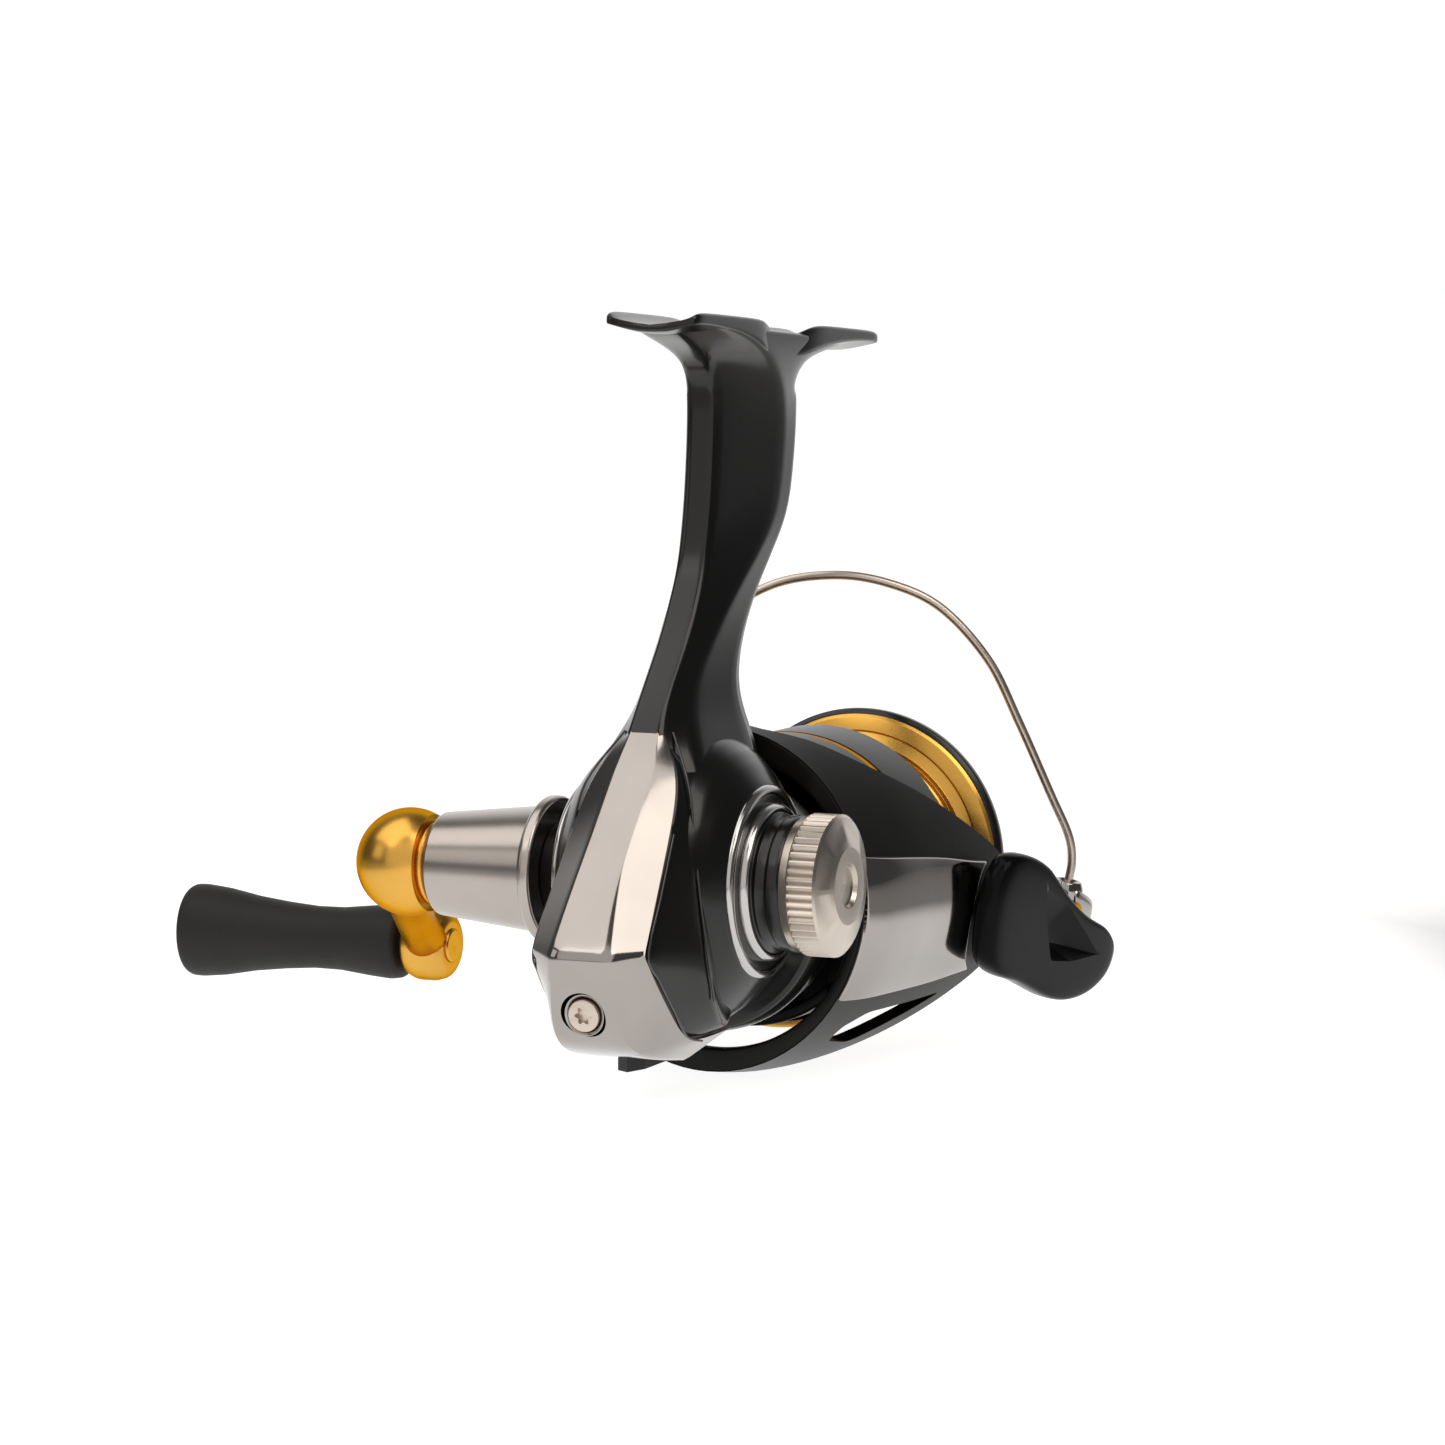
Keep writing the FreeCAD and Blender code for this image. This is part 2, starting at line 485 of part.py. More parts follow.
def make_rotor():
    outer, outer_body = rotor_shell("RotorOuter", 0)
    inner, inner_body = rotor_shell("RotorInner", -1.7)
    plate_skin, plate_body = rotor_shell("RotorSkin", 0.8)
    slack, slack_body = rotor_shell("RotorSlack", 0.02)
    scratch = [outer_body, inner_body, plate_body, slack_body]

    view = prism(side_outline([(10.5, 26)] + FRONT_EDGE), 80, -40)
    shell = outer.cut(inner).common(view)
    hoop = outer.common(Part.makeCylinder(30, 2.7, Vector(10.5, 0, 0), Vector(1, 0, 0)))
    hoop = hoop.cut(Part.makeCylinder(19.0, 40, Vector(0, 0, 0), Vector(1, 0, 0)))
    x_axis = Vector(1, 0, 0)
    cup = Part.makeCylinder(number("cup_radius"), number("cup_front") - number("cup_back"),
                            Vector(number("cup_back"), 0, 0), x_axis)
    cup = cup.cut(Part.makeCylinder(number("cup_radius") - 1.5, 60, Vector(0, 0, 0), x_axis))
    web = Part.makeCylinder(number("cup_radius") - 1, number("web_front") - number("web_back"),
                            Vector(number("web_back"), 0, 0), x_axis)
    hub_boss = Part.makeCylinder(6.5, number("web_front") + 1.2 - number("web_back"),
                                 Vector(number("web_back"), 0, 0), x_axis)
    roots = inner.common(Part.makeBox(8.6, 60, 22, Vector(20.8, -30, -11)))
    roots = roots.cut(Part.makeCylinder(number("cup_radius") - 0.5, 60, Vector(0, 0, 0), x_axis))
    rotor = shell.fuse(hoop).fuse(cup).fuse(web).fuse(hub_boss).fuse(roots)
    rotor = rotor.cut(Part.makeCylinder(number("pinion_stem") + 0.01, 60, Vector(0, 0, 0), x_axis))
    # one long window beside each arm cover, opposite each other about the shaft
    window = [(17.5, -15.6), (17.2, -13.4), (21, -11.4), (30, -10.9), (38.4, -10.3), (30, -13.6), (23.4, -16.4)]
    for turn in (0, 180):
        tool = prism(window, 30, -30)
        tool.rotate(Vector(), x_axis, turn)
        rotor = rotor.cut(tool)
    pivot = number("pivot_forward")
    for side in (-1, 1):
        hole = Part.makeCylinder(number("pivot_radius") + 0.02, 12, Vector(pivot, side * 20, 0),
                                 Vector(0, side, 0))
        rotor = rotor.cut(hole)
    shaped("rotor", rotor, rotor_place)

    cover_view = [(10.7, 9.6), (46, 7.0), (46, -7.0), (10.7, -9.6)]
    head_room = Part.makeCylinder(8.2, 80, Vector(pivot, -40, 0), Vector(0, 1, 0))
    cover = plate_skin.cut(slack).common(prism(cover_view, 80, -40)).cut(head_room)
    halves = {"arm_cover": -40, "opposite_arm_cover": 0}
    for label, low in halves.items():
        half = cover.common(Part.makeBox(80, 40, 60, Vector(0, low, -30)))
        shaped(label, half, rotor_place)
    for item in scratch:
        item.removeObjectsFromDocument()
        doc.removeObject(item.Name)

    # the heads lie sunk in the levers, with their own clearance all round
    screws = {"bail_arm_screw": -1, "bail_holder_screw": 1}
    for label, side in screws.items():
        shank = Part.makeCylinder(number("pivot_radius"), number("head_under") - 22.0,
                                  Vector(pivot, side * 22.4, 0), Vector(0, side, 0))
        head = Part.makeCylinder(number("head_radius"), 0.7, Vector(pivot, side * number("head_under"), 0),
                                 Vector(0, side, 0))
        shaped(label, shank.fuse(head), rotor_place)


# ---- Bail ---------------------------------------------------------------------------------------
LEVER_SIDE = [(47.5, 8.0), (53.6, 6.2), (58.4, 1.4), (67.8, -2.7), (72.0, -5.1), (70.6, -7.2), (66, -9.2),
              (61, -10.7), (56.1, -11), (48, -9), (41.7, -6.9), (38.7, -3.4), (38.7, 2.4), (41.4, 6.6)]
LEVER_LEAN = 0.175
HOLDER_SIDE = [(46, 6.6), (51, 6.2), (54, 3.0), (53.5, -3.5), (47, -6.4), (41.4, -4.6), (39.6, 0), (41.4, 4.6)]


def leaning_plate(points, side, start, thickness, lean):
    """A plate seen from the side as the given outline, leaning outwards towards its front."""
    pivot = number("pivot_forward")
    corners_in = [Vector(a, side * (start + lean * (a - pivot)), b) for a, b in points]
    face = Part.Face(Part.makePolygon(corners_in + corners_in[:1]))
    return face.extrude(Vector(0, side * thickness, 0))


def make_bail():
    pivot = number("pivot_forward")
    hole = number("pivot_radius") + number("running")
    lever = leaning_plate(LEVER_SIDE, -1, 27.0, 3.2, LEVER_LEAN)
    lever = lever.cut(Part.makeCylinder(hole, 20, Vector(pivot, -18, 0), Vector(0, -1, 0)))
    sink_start = number("head_under") - 0.3
    sink = number("head_radius") + 0.3
    lever = lever.cut(Part.makeCylinder(sink, 5, Vector(pivot, -sink_start, 0), Vector(0, -1, 0)))
    roller_at = Vector(64.6, -30.1, -2.6)
    shaped("bail_arm", lever, rotor_place)

    # the wire lies in an upright plane that is skewed to the shaft
    near = Vector(65.0, -26.2, 0.85)
    far = Vector(49.0, 28.3, 6.0)
    across = Vector(far.x - near.x, far.y - near.y, 0)
    heights = [(0.0, 0.85), (-0.01, 6.5), (0.325, 36.6), (0.646, 38.6), (0.905, 31.5), (0.99, 19.0),
               (1.0, 4.0)]
    corners = [Vector(near.x, near.y, 0) + across * part + Vector(0, 0, height) for part, height in heights]
    bends = [5.0, 15.0, 30.0, 16.0, 20.0]
    shaped("bail_wire", swept_wire(corners, bends, number("wire_radius")), rotor_place)
    socket = swept_wire(corners, bends, number("wire_radius") + 0.02)
    holder = leaning_plate(HOLDER_SIDE, 1, 27.0, 2.6, 0.05)
    holder = holder.cut(Part.makeCylinder(hole, 20, Vector(pivot, 18, 0), Vector(0, 1, 0)))
    holder = holder.cut(Part.makeCylinder(sink, 5, Vector(pivot, sink_start, 0), Vector(0, 1, 0)))
    shaped("bail_holder", holder.cut(socket), rotor_place)

    y_axis = Vector(0, 1, 0)
    screw = Part.makeCylinder(0.8, 5.4, roller_at, y_axis)
    head = Part.makeCylinder(1.7, 0.6, roller_at + Vector(0, 4.8, 0), y_axis)
    shaped("roller_screw", screw.fuse(head), rotor_place)
    bush_start = roller_at + Vector(0, 0.1, 0)
    bush = Part.makeCylinder(1.5, 3.1, bush_start, y_axis)
    shaped("roller_bush", bush.cut(Part.makeCylinder(0.81, 3.1, bush_start, y_axis)), rotor_place)
    groove = [(0.5, 1.56), (2.7, 1.56), (2.7, 2.9), (2.2, 2.2), (1.0, 2.2), (0.5, 2.9)]
    roller_place = rotor_place.multiply(Placement(roller_at, Rotation(Vector(0, 0, 1), 90)))
    turned("line_roller", roller_place, groove)
    bracket = Part.makeCylinder(2.6, 1.2, roller_at + Vector(0, 3.4, 0), y_axis)
    collar_low = Vector(65.0, -26.2, -0.6)
    collar = Part.makeCylinder(number("wire_radius") + 0.5, 3.2, collar_low, Vector(0, 0, 1))
    link = Part.makeBox(2.0, 1.2, 3.0, Vector(64.0, -26.8, -2.6))
    bracket = bracket.fuse(link).fuse(collar)
    bracket = bracket.cut(Part.makeCylinder(0.81, 12, roller_at, y_axis))
    shaped("roller_bracket", bracket.cut(socket), rotor_place)


# ---- Housing, covers and trim -----------------------------------------------------------------
# Level sections of the rear wedge: height above the handle axis, then (back, half width) corners
# from the middle facet round the side facet to the front.
WEDGE = [
    (19.3, 11.2, 1.8, 10.2, 2.6, 4.0, 3.4),
    (13.6, 16.2, 2.1, 12.4, 6.0, 4.0, 8.4),
    (-6.6, 30.2, 3.7, 27.2, 7.4, 0.0, 12.0),
    (-18.0, 22.0, 4.4, 17.0, 8.4, 0.0, 10.6),
    (-20.6, 12.0, 4.0, 10.0, 7.0, 0.0, 8.0),
]
# Level sections of the stem: height, then (place, half width) of its rear spine, shoulder and front
STEM = [
    (6, -12, 4.5, -4, 9.5, 8.0, 8.5),
    (18.5, -11.0, 2.4, -8.0, 5.6, 8.4, 6.0),
    (27, -4.9, 1.9, -4.2, 4.6, 9.2, 3.6),
    (34.5, 1.0, 1.9, 5.2, 4.5, 14.4, 3.2),
    (41, 3.8, 1.9, 15.4, 4.6, 20.6, 3.2),
    (51, 5.4, 2.0, 21.0, 4.7, 25.0, 3.3),
    (63, 5.6, 2.6, 22.4, 5.2, 28.4, 3.8),
]


def wedge_sections(body, shrink):
    sections = []
    for height, ridge, ridge_half, edge, edge_half, front, front_half in WEDGE:
        level = height - shrink if height > 10 else height + shrink if height < -10 else height
        half = [(-(ridge - shrink), ridge_half), (-(edge - shrink), edge_half - shrink * 0.6),
                (front, front_half - shrink * 0.6)]
        sketch = sketch_on(body, "XY_Plane", level)
        outline(sketch, half + [(a, -b) for a, b in reversed(half)])
        sections.append(sketch)
    return sections


def loft_shape(name, sections_of, *options):
    """The solid of a ruled loft, made in a body of its own that is then dropped."""
    body = new_body(name)
    loft(body, sections_of(body, *options))
    doc.recompute()
    shape = body.Shape.copy()
    body.removeObjectsFromDocument()
    doc.removeObject(body.Name)
    return shape


def stem_sections(body):
    sections = []
    for height, spine, spine_half, middle, middle_half, front, front_half in STEM:
        half = [(spine, spine_half), (middle, middle_half), (front, front_half)]
        sketch = sketch_on(body, "XY_Plane", height)
        outline(sketch, half + [(a, -b) for a, b in reversed(half)])
        sections.append(sketch)
    return sections


def make_foot():
    """Two thin wings with a trough on top, notched in plan between them."""
    rise = number("seat_height") - number("axis_offset")
    back, front = -number("foot_back"), number("foot_front")
    middle = number("hub_back")
    wide = number("foot_half_width")
    side = [(back, 2.4), (front, 2.4), (front, 0.2), (41, -1.0), (33, -3.2), (29.5, -7.0), (28, -12),
            (6, -12), (4.5, -5.4), (0, -2.4), (back, -0.7)]
    foot = prism([(a - middle, b) for a, b in side], 2 * wide, -wide)
    plan = [(back, -wide + 3), (back + 3, -wide), (12.5, -wide), (18, -3.6), (28.2, -wide), (front - 3, -wide),
            (front, -wide + 3)]
    plan = [(a - middle, b) for a, b in plan]
    plan = plan + [(a, -b) for a, b in reversed(plan)]
    foot = foot.common(prism(plan, 30, -20, plane="XY"))
    trough = [(-8, 3.2), (-6.5, 1.95), (-4.2, 0.75), (-2.2, 0), (2.2, 0), (4.2, 0.75), (6.5, 1.95), (8, 3.2),
              (8, 8), (-8, 8)]
    wire = Part.makePolygon([Vector(-40, a, b) for a, b in trough + trough[:1]])
    foot = foot.cut(Part.Face(wire).extrude(Vector(80, 0, 0)))
    for side in (-1, 1):
        foot = foot.cut(Part.makeBox(80, 3, 10, Vector(-40, side * 6.3 - 1.5, -15)))
    foot.rotate(Vector(), Vector(0, 1, 0), number("foot_slope"))
    foot.translate(Vector(middle, 0, rise))
    return foot


def make_housing():
    x_axis, y_axis, z_axis = Vector(1, 0, 0), Vector(0, 1, 0), Vector(0, 0, 1)
    drop = number("axis_offset")
    drum_radius = number("drum_radius")
    boss_radius, boss_face = number("boss_radius"), number("boss_face")
    profile = [(-boss_face, 0), (-boss_face, boss_radius), (-9.8, 14.6), (-7.2, 17.2), (-5.0, drum_radius),
               (5.0, drum_radius), (7.2, 17.2), (9.8, 14.6), (boss_face, boss_radius), (boss_face, 0)]
    face = Part.Face(Part.makePolygon([Vector(b, a, 0) for a, b in profile + profile[:1]]))
    drum = face.revolve(Vector(), y_axis, 360)
    sweep = Part.makeCylinder(60, 60, Vector(number("sweep_back"), 0, -drop), x_axis)
    sweep = sweep.cut(Part.makeCylinder(number("sweep_radius"), 60, Vector(number("sweep_back"), 0, -drop),
                                        x_axis))
    stem = loft_shape("StemLoft", stem_sections)
    wedge = loft_shape("WedgeInner", wedge_sections, 1.3)
    nose = Part.makeCylinder(number("nose_radius"), number("nose_front") - 8, Vector(8, 0, -drop), x_axis)
    plate = Part.makeCylinder(15.5, 3.2, Vector(15.6, 0, -drop), x_axis)
    low_front = Part.makeBox(60, 60, 90, Vector(number("sweep_back"), -30, -60))
    outside = drum.fuse(stem.cut(low_front.common(sweep.common(Part.makeBox(60, 60, 42,
                        Vector(0, -30, -20)))))).fuse(wedge)
    outside = outside.cut(sweep.common(Part.makeBox(80, 80, 62, Vector(0, -40, -40))))
    outside = outside.fuse(nose).fuse(plate).fuse(make_foot())

    split = number("cover_split")
    chamber = Part.makeCylinder(number("cavity_radius"), split + 6.6, Vector(0, -split, 0), y_axis)
    osc_at = Vector(-number("osc_set_back"), -split + 0.2, -number("osc_drop"))
    chamber = chamber.fuse(Part.makeCylinder(9.0, split + 2.6, osc_at, y_axis))
    chamber = chamber.fuse(Part.makeBox(17, 5.4, 17.6, Vector(-17.0, -2.7, -17.2)))
    bearing_left = Part.makeCylinder(6.6, 4.5, Vector(0, 6.5, 0), y_axis)
    bearing_right = Part.makeCylinder(6.6, 4.5, Vector(0, -11.0, 0), y_axis)
    journal_room = Part.makeCylinder(number("journal") + 0.5, 30, Vector(0, -15, 0), y_axis)
    line = Vector(0, 0, -drop)
    pinion_room = Part.makeCylinder(4.2, 10, Vector(10, 0, -drop), x_axis)
    pinion_seat = Part.makeCylinder(6.6, 3.8, Vector(18.6, 0, 0) + line, x_axis)
    clutch_seat = Part.makeCylinder(8.9, 9, Vector(22.35, 0, 0) + line, x_axis)
    rail_hole = Part.makeCylinder(0.91, 30, Vector(-19.5, 0, -10.8 - drop), x_axis)
    rail_hole = rail_hole.common(Part.makeBox(24.0, 4, 4, Vector(-19.5, -2, -12.8 - drop)))
    rooms = [chamber, bearing_left, bearing_right, journal_room, pinion_room, pinion_seat, clutch_seat, rail_hole]
    axle_hole = Part.makeCylinder(1.51, 4, Vector(-9.6, -10.2, -7.2), y_axis)
    cover_side = Part.makeBox(70, 30, 60, Vector(-35, -split - 30, -30))
    lid_zone = cover_side.common(Part.makeCylinder(21.5, 40, Vector(0, -40, 0), y_axis))
    ring_seats = []
    for side in (-1, 1):
        seat = Part.makeCylinder(boss_radius, 0.6, Vector(0, side * 11.3 - 0.3, 0), y_axis)
        ring_seats.append(seat.cut(Part.makeCylinder(boss_radius - 1.0, 2, Vector(0, side * 12 - 1, 0), y_axis)))
    hollow = outside
    for room in rooms + ring_seats:
        hollow = hollow.cut(room)
    lid = hollow.common(lid_zone)
    shell = hollow.cut(lid_zone)
    gap = Part.makeBox(80, 0.04, 60, Vector(-40, -split, -30)).common(Part.makeCylinder(
        21.5, 40, Vector(0, -40, 0), y_axis))
    shell = shell.cut(gap).cut(axle_hole)
    lever_at = Vector(-1.0, 4.0, -19.6)
    shell = shell.cut(Part.makeCylinder(number("lever_pin") + number("running"), 5.0, lever_at + line, z_axis))
    lid = lid.cut(axle_hole)

    cover_outer = loft_shape("WedgeOuter", wedge_sections, 0.0)
    cover_inner = loft_shape("WedgeRoom", wedge_sections, 1.26)
    rear_side = Part.makePolygon([Vector(a, -30, b) for a, b in (
        (-7, 22), (-12.5, 12), (-19.5, -6.6), (-14.0, -15), (-3.5, -22), (-40, -22), (-40, 22), (-7, 22))])
    rear_zone = Part.Face(rear_side).extrude(Vector(0, 60, 0))
    cover = cover_outer.cut(cover_inner).common(rear_zone)
    cover = cover.cut(drum.fuse(stem))
    screw_axis = Vector(1, 0, 0.45).normalize()
    screw_top = Vector(-27.4, 0, -13.1)
    recess = Part.makeCylinder(2.9, 1.0, screw_top, screw_axis)
    seat = Part.makeCylinder(1.25, 8, screw_top, screw_axis)
    cover = biggest(cover.cut(recess).cut(seat))
    shell = shell.cut(Part.makeCylinder(1.01, 6.2, screw_top + screw_axis * 1.0, screw_axis))
    shaped("body", biggest(shell.removeSplitter()), body_place)
    shaped("side_cover", biggest(lid), body_place)
    shaped("rear_cover", cover, body_place)
    shank = Part.makeCylinder(1.0, 6.1, screw_top + screw_axis * 0.9, screw_axis)
    head = Part.makeCylinder(2.1, 1.0, screw_top - screw_axis * 0.02, screw_axis)
    shaped("rear_cover_screw", shank.fuse(head), body_place)

    tube("side_trim_ring", handle_place, -12.1, -11.32, "boss_radius - 0.98", "boss_radius")
    turned("inner_trim_ring", handle_place, [
        (-13.3, 4.2), (-11.62, 4.2), (-11.62, 9.9), (-12.6, 9.9), (-13.3, 9.5)])
    tube("handle_side_ring", handle_place, 11.62, 12.3, "boss_radius - 3.0", "boss_radius")
    # anti-reverse lever: a small tongue under the housing, on an upright pin
    lever = prism([(-7.4, -0.7), (-6.2, 1.1), (3.2, 1.3), (3.2, -1.3), (-4.0, -1.6)], 1.8, 0, plane="XY")
    lever = lever.fuse(Part.makeCylinder(number("lever_pin"), 4.2, Vector(0, 0, 0), z_axis))
    shaped("anti_reverse_lever", lever, Placement(hub + lever_at, Rotation()))


def biggest(shape):
    return max(shape.Solids, key=lambda solid: solid.Volume)


make_spool()
make_oscillation()
make_drive()
make_handle()
make_rotor()
make_bail()
make_housing()
doc.recompute()

for item in doc.Objects:
    if "Invalid" in item.State or "Error" in item.State:
        raise RuntimeError(f"{item.Label} failed: {item.State}")
for piece in SUBPARTS:
    if piece.Shape.isNull() or not piece.Shape.isValid():
        raise RuntimeError(f"{piece.Label} has no valid shape")

os.makedirs("parts", exist_ok=True)
for piece in SUBPARTS:
    piece.Shape.exportStep(f"parts/{piece.Label}.step")
print(len(SUBPARTS), "sub-parts")
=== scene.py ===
"""Looks of the spinning reel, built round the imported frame.

Shapes are drawn in millimetres about the reel's own axes and placed with SHAFT, ROTOR and HANDLE:
x towards the rod tip, y to the handle side, z up, from the handle axis's foot on the shaft axis."""

import json
import math

import bmesh
import bpy
from mathutils import Matrix, Vector


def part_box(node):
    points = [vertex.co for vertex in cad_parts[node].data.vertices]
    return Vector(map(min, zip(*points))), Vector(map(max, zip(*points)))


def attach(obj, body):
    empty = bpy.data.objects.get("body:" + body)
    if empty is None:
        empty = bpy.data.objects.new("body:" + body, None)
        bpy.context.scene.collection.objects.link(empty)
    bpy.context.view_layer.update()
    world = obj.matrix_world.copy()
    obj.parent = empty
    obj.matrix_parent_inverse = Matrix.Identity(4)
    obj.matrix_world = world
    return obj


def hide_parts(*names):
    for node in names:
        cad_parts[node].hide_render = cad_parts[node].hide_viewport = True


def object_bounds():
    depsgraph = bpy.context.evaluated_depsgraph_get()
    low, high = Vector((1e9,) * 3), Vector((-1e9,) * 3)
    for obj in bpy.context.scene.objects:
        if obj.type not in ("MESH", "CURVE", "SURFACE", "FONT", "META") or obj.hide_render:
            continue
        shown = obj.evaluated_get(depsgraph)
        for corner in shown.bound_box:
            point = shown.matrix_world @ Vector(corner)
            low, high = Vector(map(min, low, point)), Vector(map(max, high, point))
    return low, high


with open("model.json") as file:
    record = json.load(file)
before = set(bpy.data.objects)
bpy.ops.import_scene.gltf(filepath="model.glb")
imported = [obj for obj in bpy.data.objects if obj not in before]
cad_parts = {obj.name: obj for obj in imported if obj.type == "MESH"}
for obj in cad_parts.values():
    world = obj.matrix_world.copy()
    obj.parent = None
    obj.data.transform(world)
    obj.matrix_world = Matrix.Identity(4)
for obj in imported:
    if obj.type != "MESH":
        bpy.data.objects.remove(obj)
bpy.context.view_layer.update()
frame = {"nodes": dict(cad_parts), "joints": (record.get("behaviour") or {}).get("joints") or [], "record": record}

MM = 0.001
LIP_BACK = 59.7            # spool lip's back face, along the shaft from the handle axis
AXIS_OFFSET = 4.0          # handle axis above the shaft axis
lip_low, lip_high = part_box("spool_lip_ring")
hub = Vector((lip_low.x - LIP_BACK * MM, (lip_low.y + lip_high.y) / 2, (lip_low.z + lip_high.z) / 2))
bail_axis = next(joint["axis"] for joint in frame["joints"] if joint["name"] == "bail_flip")
rotor_rest = math.atan2(bail_axis[2], bail_axis[1])

SHAFT = Matrix.Translation(hub) @ Matrix.Scale(MM, 4)
ROTOR = Matrix.Translation(hub) @ Matrix.Rotation(rotor_rest, 4, "X") @ Matrix.Scale(MM, 4)
HANDLE = (Matrix.Translation(hub + Vector((0, 0, AXIS_OFFSET * MM)))
          @ Matrix.Rotation(math.radians(90), 4, "Z") @ Matrix.Scale(MM, 4))
KNOB_FORWARD, KNOB_UP = 39.5, -12.3
KNOB = (Matrix.Translation(hub + Vector((KNOB_FORWARD, 0, KNOB_UP)) * MM)
        @ Matrix.Rotation(math.radians(90), 4, "Z") @ Matrix.Scale(MM, 4))


# ---- Materials -------------------------------------------------------
CLOUD_SCALE = 90.0         # patches of wear per metre
RELIEF = 0.0002            # height of the grain, in metres
SHARP = 32.0               # edges that turn by more degrees than this stay crisp


def finish(name, colour, metallic=0.0, rough=0.3, coat=0.0, bump=0.02, grain=900.0, wear=0.06,
           stretch=(1, 1, 1), specular=0.5, edge=(1.0, 1.0, 1.0)):
    """A painted, plated or moulded finish: grain in the bump, and cloudy wear in colour and gloss. edge is
    the tint of what is seen in it at a low angle."""
    material = bpy.data.materials.new(name)
    material.use_nodes = True
    nodes, links = material.node_tree.nodes, material.node_tree.links
    shader = nodes["Principled BSDF"]
    place = nodes.new("ShaderNodeTexCoord")
    mapping = nodes.new("ShaderNodeMapping")
    mapping.inputs["Scale"].default_value = stretch
    links.new(place.outputs["Object"], mapping.inputs["Vector"])
    cloud, fine = nodes.new("ShaderNodeTexNoise"), nodes.new("ShaderNodeTexNoise")
    for noise, scale, detail in ((cloud, CLOUD_SCALE, 6.0), (fine, grain, 3.0)):
        noise.inputs["Scale"].default_value = scale
        noise.inputs["Detail"].default_value = detail
        links.new(mapping.outputs["Vector"], noise.inputs["Vector"])

    tint = nodes.new("ShaderNodeValToRGB")
    darker = [channel * (1 - 2.5 * wear) for channel in colour]
    lighter = [min(1.0, channel * (1 + wear)) for channel in colour]
    tint.color_ramp.elements[0].color = (*darker, 1)
    tint.color_ramp.elements[0].position = 0.3
    tint.color_ramp.elements[1].color = (*lighter, 1)
    tint.color_ramp.elements[1].position = 0.7
    links.new(cloud.outputs["Fac"], tint.inputs["Fac"])
    links.new(tint.outputs["Color"], shader.inputs["Base Color"])

    gloss = nodes.new("ShaderNodeMapRange")
    gloss.inputs["To Min"].default_value = rough * (1 - wear)
    gloss.inputs["To Max"].default_value = min(1.0, rough * (1 + 2 * wear) + 0.02)
    links.new(cloud.outputs["Fac"], gloss.inputs["Value"])
    links.new(gloss.outputs["Result"], shader.inputs["Roughness"])

    relief = nodes.new("ShaderNodeBump")
    relief.inputs["Strength"].default_value = bump
    relief.inputs["Distance"].default_value = RELIEF
    links.new(fine.outputs["Fac"], relief.inputs["Height"])
    links.new(relief.outputs["Normal"], shader.inputs["Normal"])
    shader.inputs["Metallic"].default_value = metallic
    shader.inputs["Specular IOR Level"].default_value = specular
    shader.inputs["Specular Tint"].default_value = (*edge, 1)
    shader.inputs["Coat Weight"].default_value = coat
    shader.inputs["Coat Roughness"].default_value = 0.05
    return material


FINISHES = {
    "gloss_black": dict(colour=(0.004, 0.0038, 0.0036), rough=0.22, coat=0.1, specular=0.4),
    "lever_black": dict(colour=(0.004, 0.004, 0.0042), rough=0.2, coat=0.02, specular=0.06),
    "satin_black": dict(colour=(0.006, 0.0055, 0.005), rough=0.3, bump=0.04, specular=0.16),
    # The next finish is lighter than gloss_black: its base colour is a painted highlight along the lens facet's
    # rounded edges, added to the real reflections from its gloss
    "edge_highlight_black": dict(colour=(0.03, 0.03, 0.03), rough=0.16, coat=0.3, specular=0.6),
    "chrome": dict(colour=(0.36, 0.335, 0.315), metallic=1.0, rough=0.1, bump=0.01, wear=0.03),
    "satin_chrome": dict(colour=(0.42, 0.385, 0.355), metallic=1.0, rough=0.22, bump=0.03, wear=0.04),
    "dark_chrome": dict(colour=(0.36, 0.34, 0.325), metallic=1.0, rough=0.06, bump=0.01, wear=0.03),
    "nickel": dict(colour=(0.56, 0.50, 0.44), metallic=1.0, rough=0.26, bump=0.06, wear=0.05),
    "steel": dict(colour=(0.60, 0.52, 0.45), metallic=1.0, rough=0.3, bump=0.08, stretch=(1, 1, 6)),
    "gold": dict(colour=(0.72, 0.40, 0.08), metallic=1.0, rough=0.26, bump=0.05, wear=0.04,
                 edge=(0.6, 0.35, 0.12)),
    "silver": dict(colour=(0.52, 0.51, 0.50), metallic=1.0, rough=0.14, bump=0.03, wear=0.03),
    "cast_alloy": dict(colour=(0.42, 0.42, 0.43), metallic=1.0, rough=0.45, bump=0.2),
    "brass": dict(colour=(0.66, 0.48, 0.18), metallic=1.0, rough=0.25, bump=0.05),
    "black_rubber": dict(colour=(0.011, 0.0105, 0.010), rough=0.55, bump=0.12, grain=2500.0, specular=0.3),
    "grey_rubber": dict(colour=(0.10, 0.10, 0.10), rough=0.5, bump=0.1, grain=2500.0, specular=0.3),
    "black_plastic": dict(colour=(0.010, 0.010, 0.011), rough=0.45, bump=0.1, specular=0.3),
    "white_plastic": dict(colour=(0.62, 0.61, 0.58), rough=0.4, bump=0.05),
    "felt": dict(colour=(0.34, 0.30, 0.22), rough=0.9, bump=0.5, grain=3000.0),
}
LOOKS = {name: finish(name, **values) for name, values in FINISHES.items()}


def shade(mesh, sharp=None):
    """Smooth shading, with crisp edges where the faces turn by more than sharp degrees."""
    for polygon in mesh.polygons:
        polygon.use_smooth = True
    if sharp is not None:
        mesh.set_sharp_from_angle(angle=math.radians(sharp))


for part in frame["record"]["subparts"]:
    node = frame["nodes"][part["node"]]
    node.data.materials.clear()
    node.data.materials.append(LOOKS[part["material_slot"]])
    shade(node.data, SHARP)


